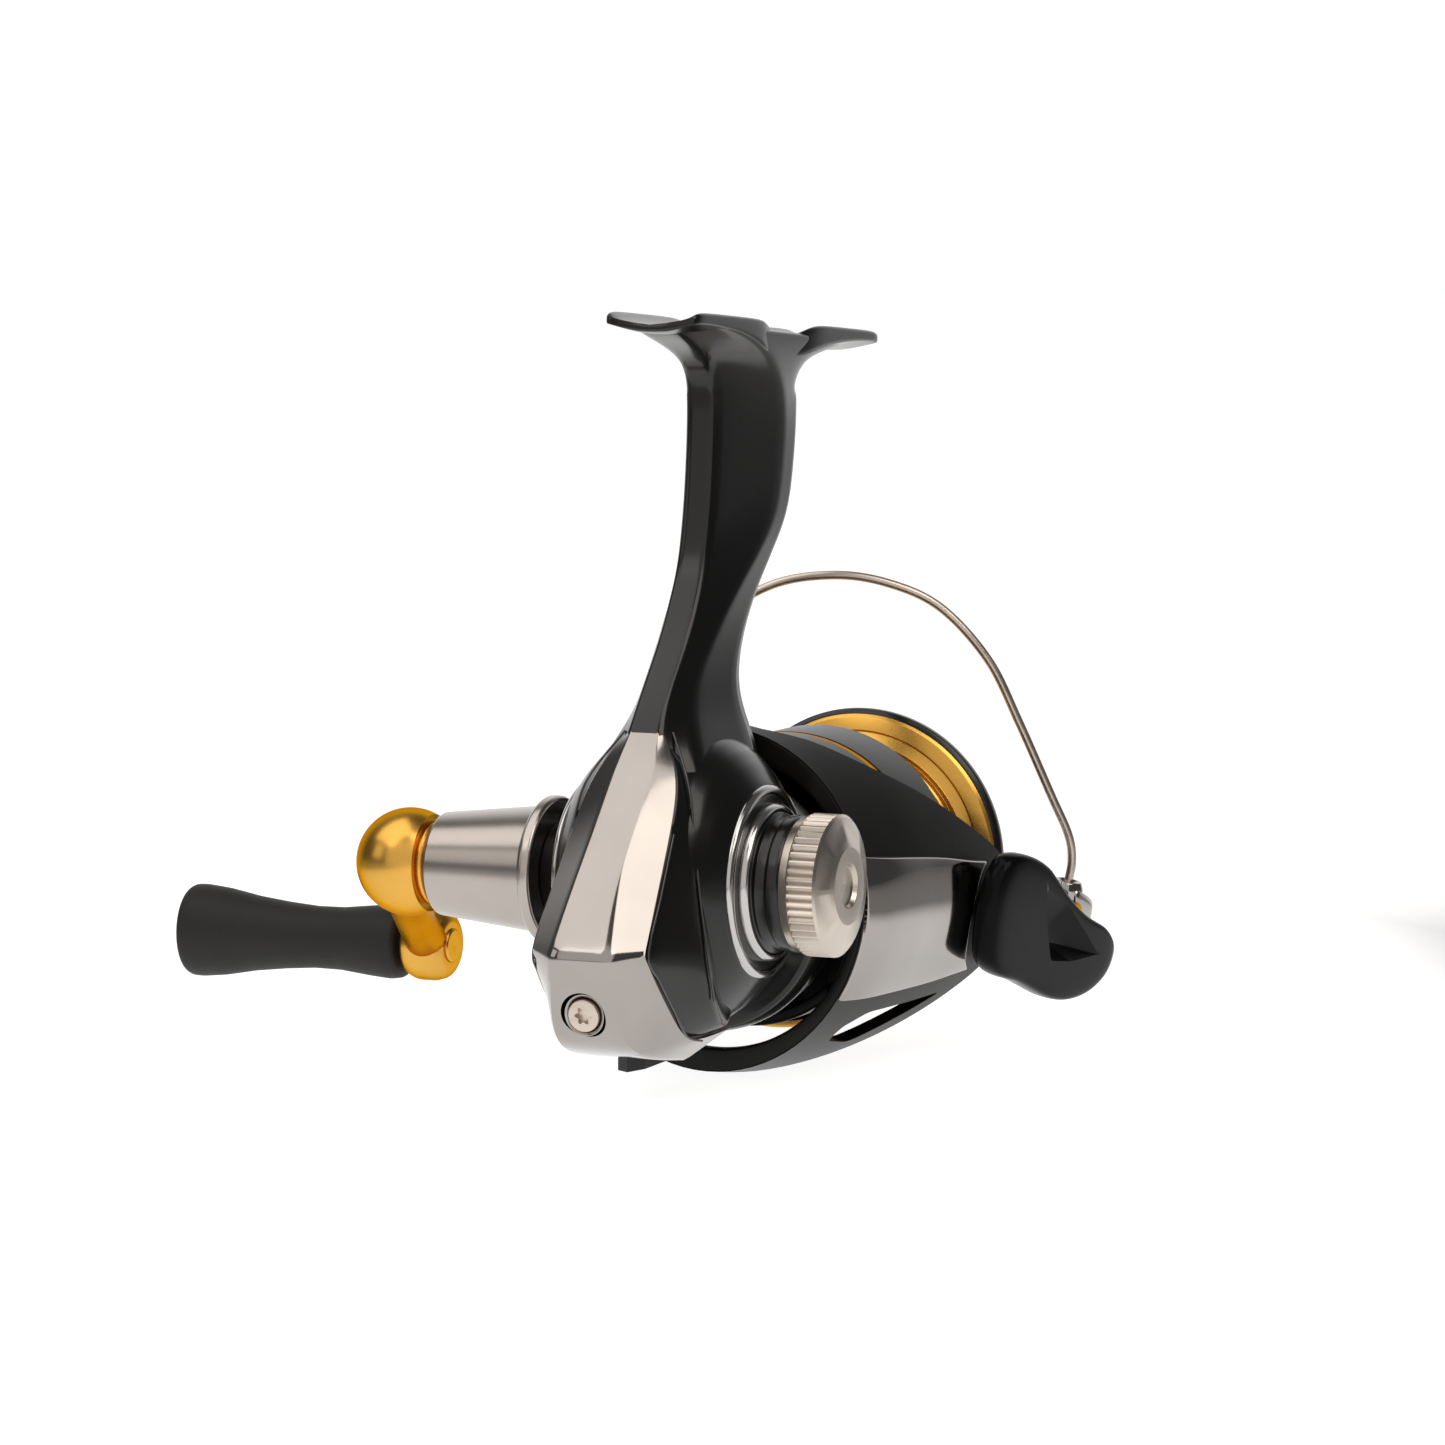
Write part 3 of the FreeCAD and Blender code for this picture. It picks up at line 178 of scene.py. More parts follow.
# ---- Mesh helpers ----------------------------------------------------
def piece(name, verts, faces, place, body, look, nodes=(), sharp=SHARP, levels=0, creases=()):
    """A mesh given in millimetres of the frame place. creases are (vertex, vertex, weight)."""
    mesh = bpy.data.meshes.new(name)
    mesh.from_pydata([place @ Vector(v) for v in verts], [], faces)
    work = bmesh.new()
    work.from_mesh(mesh)
    bmesh.ops.remove_doubles(work, verts=work.verts, dist=1e-6)
    bmesh.ops.recalc_face_normals(work, faces=work.faces)
    work.to_mesh(mesh)
    work.free()
    shown = bpy.data.objects.new(name, mesh)
    bpy.context.scene.collection.objects.link(shown)
    if creases:
        set_creases(mesh, [(place @ Vector(verts[a]), place @ Vector(verts[b]), w) for a, b, w in creases])
    if levels:
        subdivide = shown.modifiers.new("Smooth", "SUBSURF")
        subdivide.levels = subdivide.render_levels = levels
    settle(shown, body, look, nodes, sharp)
    return shown


def settle(shown, body, look, nodes=(), sharp=SHARP):
    """Gives a piece its look, its body and the CAD nodes it stands for."""
    shown.data.materials.clear()
    shown.data.materials.append(LOOKS[look])
    shade(shown.data, None if shown.modifiers else sharp)
    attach(shown, body)
    if nodes:
        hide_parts(*nodes)


def set_creases(mesh, wanted):
    """Creases the edges named by their (start, end, weight)."""
    layer = mesh.attributes.new("crease_edge", "FLOAT", "EDGE")
    near = 2e-6            # metres within which two points are one
    for edge in mesh.edges:
        a, b = (mesh.vertices[i].co for i in edge.vertices)
        for start, end, weight in wanted:
            if ((a - start).length < near and (b - end).length < near) or (
                    (a - end).length < near and (b - start).length < near):
                layer.data[edge.index].value = weight


def bake(shown, sharp=SHARP):
    """Turns the piece's modifiers into its mesh."""
    bpy.context.view_layer.update()
    graph = bpy.context.evaluated_depsgraph_get()
    mesh = bpy.data.meshes.new_from_object(shown.evaluated_get(graph))
    shown.modifiers.clear()
    shown.data = mesh
    shade(mesh, sharp)


def cut(shown, cutter, sharp=SHARP):
    """Takes the cutter's volume away from the piece, and the cutter out of the scene."""
    boolean = shown.modifiers.new("Cut", "BOOLEAN")
    boolean.operation = "DIFFERENCE"
    boolean.solver = "EXACT"
    boolean.object = cutter
    bake(shown, sharp)
    bpy.data.objects.remove(cutter)


def soften(points, radius, steps=4, closed=False):
    """The outline with its corners rounded, as far as its sides allow."""
    points = [Vector((*p, 0)) if len(p) == 2 else Vector(p) for p in points]
    count = len(points)
    result = []
    for index, corner in enumerate(points):
        if not closed and index in (0, count - 1):
            result.append(corner)
            continue
        back = points[index - 1] - corner
        ahead = points[(index + 1) % count] - corner
        reach = min(radius, back.length * 0.45, ahead.length * 0.45)
        start, end = corner + back.normalized() * reach, corner + ahead.normalized() * reach
        for step in range(steps + 1):
            t = step / steps
            result.append(start * (1 - t) ** 2 + corner * 2 * t * (1 - t) + end * t * t)
    return result


def lathe(name, place, profile, body, look, nodes=(), around=128, round_by=0.15, shape=None, sharp=SHARP):
    """A closed (along, radius) outline turned about x. shape(along, radius, angle) may change the radius."""
    outline = soften(profile, round_by, closed=True) if round_by else [Vector((*p, 0)) for p in profile]
    verts, faces = [], []
    for k in range(around):
        angle = 2 * math.pi * k / around
        for p in outline:
            radius = max(p.y, 0.0)
            if shape:
                radius = shape(p.x, radius, angle)
            verts.append((p.x, -radius * math.sin(angle), radius * math.cos(angle)))
    size = len(outline)
    for k in range(around):
        for j in range(size):
            a, b = k * size + j, k * size + (j + 1) % size
            c, d = (k + 1) % around * size + (j + 1) % size, (k + 1) % around * size + j
            faces.append((a, b, c, d))
    return piece(name, verts, faces, place, body, look, nodes, sharp)


def loft(name, place, rings, body, look, nodes=(), levels=2, long_creases=(), ring_creases=(), closed=True,
         caps=True, sharp=SHARP):
    """Skins rings of equal length. long_creases are {point: weight or weights} down the loft, ring_creases
    {ring: weight}."""
    size = len(rings[0])
    verts = [tuple(p) for ring in rings for p in ring]
    faces, creases = [], []
    sides = size if closed else size - 1
    for r in range(len(rings) - 1):
        for j in range(sides):
            a, b = r * size + j, r * size + (j + 1) % size
            faces.append((a, b, b + size, a + size))
        for j, weight in dict(long_creases).items():
            weight = weight[r] if isinstance(weight, list) else weight
            creases.append((r * size + j, (r + 1) * size + j, weight))
    for r, weight in dict(ring_creases).items():
        r = r % len(rings)
        for j in range(sides):
            creases.append((r * size + j, r * size + (j + 1) % size, weight))
    if caps and closed:
        faces.append(tuple(range(size)))
        last = (len(rings) - 1) * size
        faces.append(tuple(range(last, last + size)))
    return piece(name, verts, faces, place, body, look, nodes, sharp, levels, creases)


def spline(points, steps=8, closed=False):
    """A Catmull-Rom curve through the points."""
    points = [Vector(p) for p in points]
    count = len(points)
    result = []
    for i in range(count if closed else count - 1):
        if closed:
            p0, p1, p2, p3 = (points[(i + k) % count] for k in (-1, 0, 1, 2))
        else:
            p0, p1, p2, p3 = points[max(i - 1, 0)], points[i], points[i + 1], points[min(i + 2, count - 1)]
        for s in range(steps):
            t = s / steps
            result.append(0.5 * (2 * p1 + (p2 - p0) * t + (2 * p0 - 5 * p1 + 4 * p2 - p3) * t * t
                                 + (3 * p1 - p0 - 3 * p2 + p3) * t ** 3))
    if not closed:
        result.append(points[-1])
    return result


def tube(name, place, path, radii, body, look, nodes=(), around=24):
    """A round bar along a path, with a radius at each point."""
    rings = []
    side = None
    for i, point in enumerate(path):
        ahead = (path[min(i + 1, len(path) - 1)] - path[max(i - 1, 0)]).normalized()
        if side is None:
            side = ahead.orthogonal().normalized()
        side = (side - ahead * side.dot(ahead)).normalized()
        up = ahead.cross(side)
        radius = radii if isinstance(radii, (int, float)) else radii[i]
        rings.append([point + radius * (side * math.cos(2 * math.pi * k / around)
                                        + up * math.sin(2 * math.pi * k / around)) for k in range(around)])
    return loft(name, place, rings, body, look, nodes, levels=0)


def table_at(table, x):
    """Straight-line reading of a table of (x, value, ...) rows."""
    if x <= table[0][0]:
        return table[0][1:] if len(table[0]) > 2 else table[0][1]
    for low, high in zip(table, table[1:]):
        if x <= high[0]:
            t = (x - low[0]) / (high[0] - low[0])
            values = [a + (b - a) * t for a, b in zip(low[1:], high[1:])]
            return values if len(values) > 1 else values[0]
    return table[-1][1:] if len(table[-1]) > 2 else table[-1][1]


def smooth_table(table, steps=6):
    """The table with a smooth curve laid through its rows."""
    columns = len(table[0])
    return [tuple(p)[:columns] for p in spline([(*row, 0)[:3] for row in table], steps)]


def mirrored(half):
    """Points on the -y side, followed by their mirror images in reverse order."""
    return [Vector(p) for p in half] + [Vector((p[0], -p[1], p[2])) for p in reversed(half)]


# ---- Housing: stem, foot, drum and rear wedge ------------------------
# Heights of the stem with (place, half width) of its spine, side edge and front edge
STEM = [
    (12.0, -13.5, 3.0, -11.0, 9.4, 5.6, 10.4),
    (18.0, -13.0, 2.6, -10.0, 7.0, 7.0, 8.6),
    (22.0, -11.6, 2.1, -7.4, 5.4, 8.4, 6.4),
    (25.6, -9.4, 1.9, -4.9, 3.8, 8.7, 4.8),
    (29.0, -6.6, 1.85, -3.0, 3.4, 8.9, 4.2),
    (33.6, -2.4, 1.85, 1.7, 3.7, 10.8, 4.0),
    (38.4, 0.8, 1.85, 6.3, 4.25, 14.5, 4.0),
    (43.0, 3.2, 1.9, 12.9, 4.5, 19.0, 4.2),
    (46.6, 4.1, 1.95, 17.8, 4.55, 22.6, 4.4),
    (50.0, 4.9, 2.0, 20.2, 4.6, 24.6, 4.5),
    (55.0, 5.5, 2.0, 21.3, 4.6, 25.8, 4.5),
    (60.0, 5.9, 2.0, 22.0, 4.7, 26.6, 4.5),
]
# Above that it flares out under both wings: spine, side edge and front edge, each (place, half width, z)
FLARE = [
    ((5.9, 2.0, 64.6), (20.7, 5.0, 64.0), (27.2, 4.2, 64.2)),
    ((4.9, 2.0, 67.0), (17.6, 5.4, 66.6), (29.4, 4.6, 66.3)),
    ((2.6, 2.0, 68.7), (13.4, 5.9, 68.8), (33.0, 5.0, 67.6)),
    ((-2.6, 2.2, 70.4), (6.6, 6.15, 70.9), (39.0, 5.6, 68.3)),
    ((-7.0, 2.4, 71.6), (-1.0, 6.2, 72.4), (45.0, 5.9, 68.8)),
    ((-8.2, 2.4, 72.5), (-6.5, 6.0, 73.4), (47.5, 5.8, 69.9)),
]


def make_stem():
    """The swept leg: a narrow spine behind, a creased side and a softer front."""
    rings = []
    for height, spine, spine_half, edge, edge_half, front, front_half in STEM:
        rings.append(mirrored([(spine, -spine_half, height), (edge, -edge_half, height),
                               (front, -front_half, height)]))
    for row in FLARE:
        rings.append(mirrored([(x, -half, z) for x, half, z in row]))
    below, above = len(STEM), len(FLARE) - 1
    spine_crease = [0.75] * below + [0.5] * above
    edge_crease = [0.8] * below + [0.7] * above
    front_crease = [0.7] * below + [0.3] * above
    loft("stem", SHAFT, rings, "housing", "gloss_black", levels=3,
         long_creases={0: spine_crease, 1: edge_crease, 2: front_crease, 3: front_crease, 4: edge_crease,
                       5: spine_crease})


# Stations along the foot from the seat's middle: half width, rise of the edge over the seat, and the
# underside's height at the edge and the middle
FOOT = [
    (-30.1, 5.3, 0.85, 0.0, -0.5), (-29.8, 6.0, 1.3, 0.2, -0.75), (-28.9, 6.25, 1.7, 0.4, -0.9),
    (-26.0, 6.25, 1.82, 0.45, -1.0), (-21.0, 6.25, 1.82, 0.3, -1.0), (-14.0, 6.25, 1.82, -0.3, -1.4),
    (-9.4, 6.2, 1.75, -1.4, -2.0), (-7.4, 6.05, 1.5, -2.2, -2.4), (-3.0, 5.2, 0.1, -2.6, -2.6),
    (1.6, 5.0, -0.5, -2.6, -2.6), (5.0, 5.7, 0.7, -2.4, -2.4), (8.2, 6.2, 1.75, -1.6, -2.0),
    (14.0, 6.25, 1.82, -0.4, -1.4), (21.0, 6.25, 1.82, 0.3, -1.0), (26.0, 6.25, 1.82, 0.5, -0.9),
    (28.8, 6.25, 1.7, 0.5, -0.8), (29.6, 6.0, 1.3, 0.3, -0.6), (29.9, 5.3, 0.85, 0.1, -0.4),
]
FOOT_SLOPE = math.radians(3.8)
SEAT_FORWARD, SEAT_UP = 20.3, 70.7


def make_foot():
    """The foot: a flat seat with a wing curling up along each side, before and behind the stem."""
    turn = Matrix.Rotation(FOOT_SLOPE, 3, "Y")
    seat = Vector((SEAT_FORWARD, 0, SEAT_UP))
    rings = []
    for along, wide, rise, under_edge, under in FOOT:
        half = [(-0.36 * wide, 0.02), (-0.7 * wide, 0.42 * rise), (-0.95 * wide, rise), (-wide, rise - 0.3),
                (-wide, under_edge), (-0.72 * wide, under * 0.5 + under_edge * 0.5), (-0.3 * wide, under)]
        ring = [(0, 0)] + half + [(0, under)] + [(-y, z) for y, z in reversed(half)]
        rings.append([seat + turn @ Vector((along, y, z)) for y, z in ring])
    loft("foot_wings", SHAFT, rings, "housing", "gloss_black", levels=2,
         long_creases={3: 0.5, 4: 0.4, 5: 0.7, 11: 0.7, 12: 0.4, 13: 0.5})


# Rows from the top of the rear cover round its bottom: ridge, side edge and the body facet's front
# edge, each (x, half width, z)
WEDGE = [
    ((-10.5, 1.8, 23.5), (-10.2, 2.3, 23.1), (-9.4, 3.2, 23.0)),
    ((-15.0, 2.1, 18.0), (-13.5, 5.9, 17.9), (-12.9, 6.9, 16.8)),
    ((-20.3, 2.4, 11.9), (-17.8, 6.5, 11.4), (-14.3, 8.3, 10.0)),
    ((-25.4, 2.8, 5.6), (-22.6, 7.0, 4.6), (-15.5, 9.6, 3.4)),
    ((-30.0, 3.7, -2.4), (-27.2, 7.4, -2.2), (-15.9, 10.6, -2.0)),
    ((-29.5, 4.1, -6.8), (-24.9, 7.8, -5.6), (-15.6, 11.0, -5.5)),
    ((-28.3, 4.5, -11.2), (-20.8, 8.0, -9.9), (-14.4, 11.0, -9.0)),
    ((-25.2, 4.9, -14.3), (-17.2, 8.1, -13.3), (-11.2, 10.4, -12.2)),
    ((-18.5, 5.4, -16.2), (-13.6, 8.5, -14.3), (-8.8, 9.9, -13.2)),
    ((-9.4, 4.8, -17.5), (-6.8, 9.6, -13.6), (-5.0, 9.4, -12.8)),
]
COVER_THICK, COVER_PROUD = 1.2, 0.35
# The gear room inside the wedge, where the slider runs: its ends, half width and heights
ROOM_ENDS, ROOM_HALF, ROOM_LOW, ROOM_HIGH = (-17.8, 6.0), 5.2, -13.3, 3.6
EDGE_LINE = 0.15           # radius of the bright line along the facet's edges
SCREW_AT, SCREW_AXIS = Vector((-28.7, 0, -9.7)), Vector((1, 0, 0.14)).normalized()


def make_wedge():
    """The black body under the rear cover, with the lens-shaped facet beside the cover."""
    rings = []
    for row, (ridge, edge, front) in enumerate(WEDGE):
        below = row > 6        # the last rows run forward under the drum
        ridge_lift, edge_lift = (1.5, 0.5) if below else (0.0, 0.0)
        under_ridge = (ridge[0] + 1.6, -ridge[1] + 0.2, ridge[2] + ridge_lift)
        under_edge = (edge[0] + COVER_PROUD, -edge[1] - 0.05, edge[2] + edge_lift)
        inside = (front[0] + 9.0, -front[1] * 0.8, front[2] * 0.8)
        rings.append(mirrored([under_ridge, under_edge, (front[0], -front[1], front[2]), inside]))
    wedge = loft("housing_wedge", SHAFT, rings, "housing", "gloss_black", levels=3,
                 long_creases={1: 0.8, 2: 0.85, 5: 0.85, 6: 0.8})
    bake(wedge)
    room = [[(x, -ROOM_HALF, ROOM_LOW), (x, ROOM_HALF, ROOM_LOW), (x, ROOM_HALF, ROOM_HIGH),
             (x, -ROOM_HALF, ROOM_HIGH)] for x in ROOM_ENDS]
    cut(wedge, loft("cutter", SHAFT, room, "housing", "gloss_black", levels=0))
    # Thin tubes along both edges of the lens facet, in that lighter black: partly painted highlight, partly real
    # reflection from their gloss
    for side, hand in ((-1, "near"), (1, "far")):
        rear = [(edge[0] + 0.75, side * (edge[1] + 0.22), edge[2]) for _, edge, _ in WEDGE[2:9]]
        front = [(x - 0.05, side * (half + 0.02), z) for _, _, (x, half, z) in WEDGE[:7]]
        for name, line in (("lens_rear_edge_", rear), ("lens_front_edge_", front)):
            tube(name + hand, SHAFT, spline(line, 6), EDGE_LINE, "housing", "edge_highlight_black", around=10)


SCREW = SHAFT @ Matrix.Translation(SCREW_AT) @ SCREW_AXIS.to_track_quat("X", "Z").to_matrix().to_4x4()
SCREW_HOLE = 2.95          # radius of the hole for the screw and its washer


def make_rear_cover():
    """The bright cover, bent up from one sheet along its creases, with the hole for its screw."""
    rings = []
    for ridge, edge, _ in WEDGE:
        rings.append([(edge[0], -edge[1], edge[2]), (ridge[0], -ridge[1], ridge[2]),
                      (ridge[0], ridge[1], ridge[2]), (edge[0], edge[1], edge[2])])
    cover = loft("rear_cover_shell", SHAFT, rings, "housing", "chrome", ("rear_cover",), levels=3,
                 long_creases={0: 1.0, 1: 0.9, 2: 0.9, 3: 1.0}, ring_creases={0: 1.0, 4: 0.9, -1: 1.0},
                 closed=False, caps=False)
    thick = cover.modifiers.new("Thick", "SOLIDIFY")
    thick.thickness = COVER_THICK * MM
    thick.offset = -1.0
    bake(cover)
    cut(cover, lathe("cutter", SCREW, [(-3.0, 0), (3.0, 0), (3.0, SCREW_HOLE), (-3.0, SCREW_HOLE)],
                     "housing", "steel", around=48, round_by=0))


def make_cover_screw():
    """The screw's dished washer and its head, sunk with a six-lobed socket."""
    lathe("cover_screw_seat", SCREW, [(0.9, 0), (0.9, 2.1), (0.5, 2.25), (0.35, 2.62), (1.6, 2.66), (1.6, 0)],
          "housing", "chrome", around=64)
    head = lathe("cover_screw_head", SCREW, [(0.05, 0), (0.05, 2.0), (0.9, 2.1), (0.9, 0)],
                 "housing", "steel", ("rear_cover_screw",), around=64)
    points, lobes, middle, wave = 48, 6, 0.95, 0.2
    socket = []
    for k in range(points):
        angle = 2 * math.pi * k / points
        radius = middle + wave * math.cos(lobes * angle)
        socket.append((radius * math.cos(angle), radius * math.sin(angle)))
    rings = [[(x, y, z) for y, z in socket] for x in (-0.5, 0.75)]
    cut(head, loft("cutter", SCREW, rings, "housing", "steel", levels=0))


DRUM_HALF = 11.62          # half the drum's width along the handle axis
RIM_BACK, RIM_CLEAR = 9.9, 18.3        # the space kept free for the rotor's rim: where it starts, its radius


def make_drum():
    """The round gear housing about the handle axis, with its two side bosses."""
    half = [(DRUM_HALF, 11.0), (DRUM_HALF, 12.05), (11.0, 12.9), (9.9, 14.4), (8.4, 16.0), (6.6, 17.3),
            (4.4, 18.2), (2.0, 18.5)]
    profile = [(-DRUM_HALF, 0)] + [(-y, r) for y, r in half]
    profile += [(y, r) for y, r in reversed(half)] + [(DRUM_HALF, 0)]
    drum = lathe("gear_housing", HANDLE, profile, "housing", "gloss_black", ("body", "side_cover"),
                 round_by=0.5)
    # the front of the drum is swept round the rotor's rim
    reach, outside = 40.0, 30.0
    rim = [(RIM_BACK, RIM_CLEAR), (reach, RIM_CLEAR), (reach, outside), (RIM_BACK, outside)]
    cut(drum, lathe("cutter", SHAFT, rim, "housing", "gloss_black", round_by=0))
    plate = [(6.0, 0), (16.2, 0), (18.6, 10.6), (17.0, 14.6), (15.4, 15.6), (9.0, 16.6), (6.0, 16.0)]
    lathe("front_plate", SHAFT, plate, "housing", "gloss_black", round_by=0.6)
    lathe("housing_nose", SHAFT, [(16.0, 6.0), (29.9, 6.0), (29.9, 10.3), (16.0, 10.5)], "housing",
          "satin_black", round_by=0.3)


def make_trim():
    """The bright rings and the black seats round the handle axis, on both sides."""
    lathe("side_ring", HANDLE, [(-12.2, 10.9), (-11.2, 10.9), (-11.2, 12.1), (-11.9, 12.05), (-12.2, 11.7)],
          "housing", "silver", ("side_trim_ring",), round_by=0.3)
    lathe("side_ring_gap", HANDLE, [(-11.9, 9.4), (-11.0, 9.4), (-11.0, 11.0), (-11.9, 11.0)], "housing",
          "gloss_black")
    lathe("inner_ring", HANDLE, [(-13.3, 8.9), (-11.7, 8.9), (-11.7, 9.9), (-12.8, 9.8), (-13.3, 9.5)],
          "housing", "silver", ("inner_trim_ring",), round_by=0.25)
    boss = [(-17.0, 0), (-11.7, 0), (-11.7, 8.9), (-13.4, 8.8), (-13.6, 8.2), (-14.9, 8.1), (-15.1, 8.5),
            (-16.4, 8.5), (-17.0, 8.0)]
    lathe("cap_boss", HANDLE, boss, "housing", "gloss_black", ("cap_seat",), round_by=0.2)
    lathe("handle_ring_trim", HANDLE, [(11.3, 9.0), (12.25, 9.0), (12.3, 11.6), (11.9, 12.05), (11.3, 12.1)],
          "housing", "silver", ("handle_side_ring",), round_by=0.3)
    lathe("handle_seat", HANDLE, [(11.4, 0), (12.1, 0), (12.1, 9.1), (11.4, 9.1)], "housing", "gloss_black")


# ---- Handle ----------------------------------------------------------
# The lock cap: its knurled rim's ends and radius, then the faceted cone's start and its outer and inner
# radius
KNURLS, KNURL_DEEP = 50, 0.42
CAP_RIM_OUT, CAP_RIM_IN, CAP_RIM_RADIUS = -21.39, -18.03, 8.85
CONE_FROM, CONE_OUTER, CONE_INNER = -21.64, 8.4, 5.0
CAP_FACETS, FACET_FLAT = 8, 0.94       # number of flats, and how far their middles lie in


def cap_shape(along, radius, angle):
    """Knurls round the cap's rim, and flats on its cone."""
    if CAP_RIM_OUT - 0.02 < along < CAP_RIM_IN + 0.02 and radius > CONE_OUTER:
        wave = abs((angle * KNURLS / (2 * math.pi)) % 1.0 - 0.5) * 2
        return radius - KNURL_DEEP * (1 - min(1.0, wave * 1.25))
    if along < CONE_FROM and CONE_INNER < radius < CONE_OUTER:
        step = 2 * math.pi / CAP_FACETS
        flat = min(1.0, FACET_FLAT / math.cos((angle % step) - step / 2))
        share = (CONE_OUTER - radius) / (CONE_OUTER - CONE_INNER)
        return radius * (1 - (1 - flat) * math.sin(math.pi * share))
    return radius


def make_lock_cap():
    """The knurled cap on the far end of the handle's shaft, dished round its middle."""
    cap = [(-22.21, 0), (-22.21, 2.5), (-22.81, 2.75), (-22.81, 4.8), (-22.78, 4.9), (-22.53, 5.79),
           (-22.25, 6.67), (-21.97, 7.56), (-21.69, 8.45), (CAP_RIM_OUT, CAP_RIM_RADIUS),
           (CAP_RIM_IN, CAP_RIM_RADIUS), (-17.78, 8.55), (-16.76, 8.4), (-16.71, 8.0), (-16.71, 0)]
    lathe("lock_cap", HANDLE, cap, "handle", "nickel", ("handle_lock_cap",), around=600, round_by=0.05,
          shape=cap_shape, sharp=12)


RING_OUT = 33.9            # where the ball leaves the gold ring
BALL_OUT, BALL_RADIUS = 37.3, 6.9
BAR_END = 54.2             # how far out the crank bar meets the boss of the knob
BAR_THIN, BAR_ROOT, BAR_TIP = 2.25, 2.2, 0.7       # its radius, and what it gains at its two ends
BAR_BOW = 1.2              # how far its middle bows outwards


def make_crank():
    """The crank: collar, tapered sleeve, gold ring and ball, and the bar out to the knob."""
    lathe("crank_collar", HANDLE, [(12.2, 0), (12.2, 7.0), (13.4, 7.2), (13.6, 6.4), (16.4, 6.2), (16.4, 0)],
          "handle", "satin_black", ("handle_collar",), round_by=0.25)
    sleeve = [(16.4, 0), (16.4, 9.0), (16.7, 9.35), (17.7, 9.4), (18.1, 9.15), (18.5, 8.05), (32.3, 6.55),
              (33.4, 5.3), (33.4, 0)]
    lathe("crank_sleeve", HANDLE, sleeve, "handle", "satin_chrome", ("handle_sleeve",), round_by=0.3)
    lathe("crank_ring", HANDLE, [(33.3, 0), (33.3, 5.2), (33.7, 5.35), (34.1, 5.2), (34.4, 4.6), (34.4, 0)],
          "handle", "gold", ("handle_ring",), round_by=0.15)
    arcs = 40
    ball = [(RING_OUT, 0)]
    for k in range(arcs + 1):
        angle = math.pi * k / arcs
        x = BALL_OUT - BALL_RADIUS * math.cos(angle)
        if x > RING_OUT:
            ball.append((x, BALL_RADIUS * math.sin(angle)))
    lathe("crank_ball", HANDLE, ball, "handle", "gold", ("crank_arm",), round_by=0)

    steps = 14
    start = Vector((0, BALL_OUT + 1.0, AXIS_OFFSET))
    end = Vector((KNOB_FORWARD, BAR_END, KNOB_UP))
    path, radii = [], []
    for k in range(steps + 1):
        share = k / steps
        point = start + (end - start) * share
        point.y += BAR_BOW * math.sin(math.pi * share)
        path.append(point)
        radii.append(BAR_THIN + BAR_ROOT * (1 - share) ** 3 + BAR_TIP * share ** 3)
    tube("crank_bar", SHAFT, path, radii, "handle", "gold", around=48)
    boss = [(50.7, 0), (50.7, 3.5), (51.3, 4.4), (52.7, 4.85), (55.2, 4.85), (56.6, 4.2), (57.0, 3.4),
            (57.0, 0)]
    lathe("crank_boss", KNOB, boss, "handle", "gold", round_by=0.6)
    lathe("spindle_disc", KNOB, [(50.3, 0), (50.3, 2.1), (50.5, 2.3), (50.9, 2.3), (50.9, 0)],
          "handle", "gold", ("knob_spindle", "knob_screw"), round_by=0.1)


FLAT_FROM, FLAT_TO, FLAT_SHARE = 75.0, 90.0, 0.06      # where the grip flattens, and by what share


def knob_shape(along, radius, angle):
    """The grip is flattened a little towards its outer end."""
    share = max(0.0, (along - FLAT_FROM) / (FLAT_TO - FLAT_FROM))
    return radius * (1 - FLAT_SHARE * share * (1 - math.cos(2 * angle)))


def make_knob():
    """The rubber grip that turns on the crank's spindle, and the ring round its end."""
    knob = [(57.5, 0), (57.5, 4.1), (57.9, 4.75), (59.4, 5.0), (62.5, 4.75), (67.0, 4.25), (71.0, 4.2),
            (75.4, 4.55), (80.0, 5.1), (84.6, 5.95), (88.0, 6.3), (89.3, 6.25), (89.9, 5.9), (90.05, 5.3),
            (89.8, 4.9), (89.75, 0)]
    lathe("grip", KNOB, knob, "knob", "black_rubber", ("handle_knob", "knob_end_cap", "knob_bushes"),
          round_by=0.5, shape=knob_shape)
    lathe("grip_end_rim", KNOB, [(89.6, 4.9), (90.1, 4.95), (90.15, 5.3), (89.95, 5.6), (89.6, 5.6)],
          "knob", "grey_rubber", round_by=0.12, shape=knob_shape)


# ---- Spool -----------------------------------------------------------
GROOVES, GROOVES_FROM, GROOVES_TO = 18, 57.3, 46.6     # the fine turned grooves of the line bed
CREST, VALLEY = 14.62, 14.46


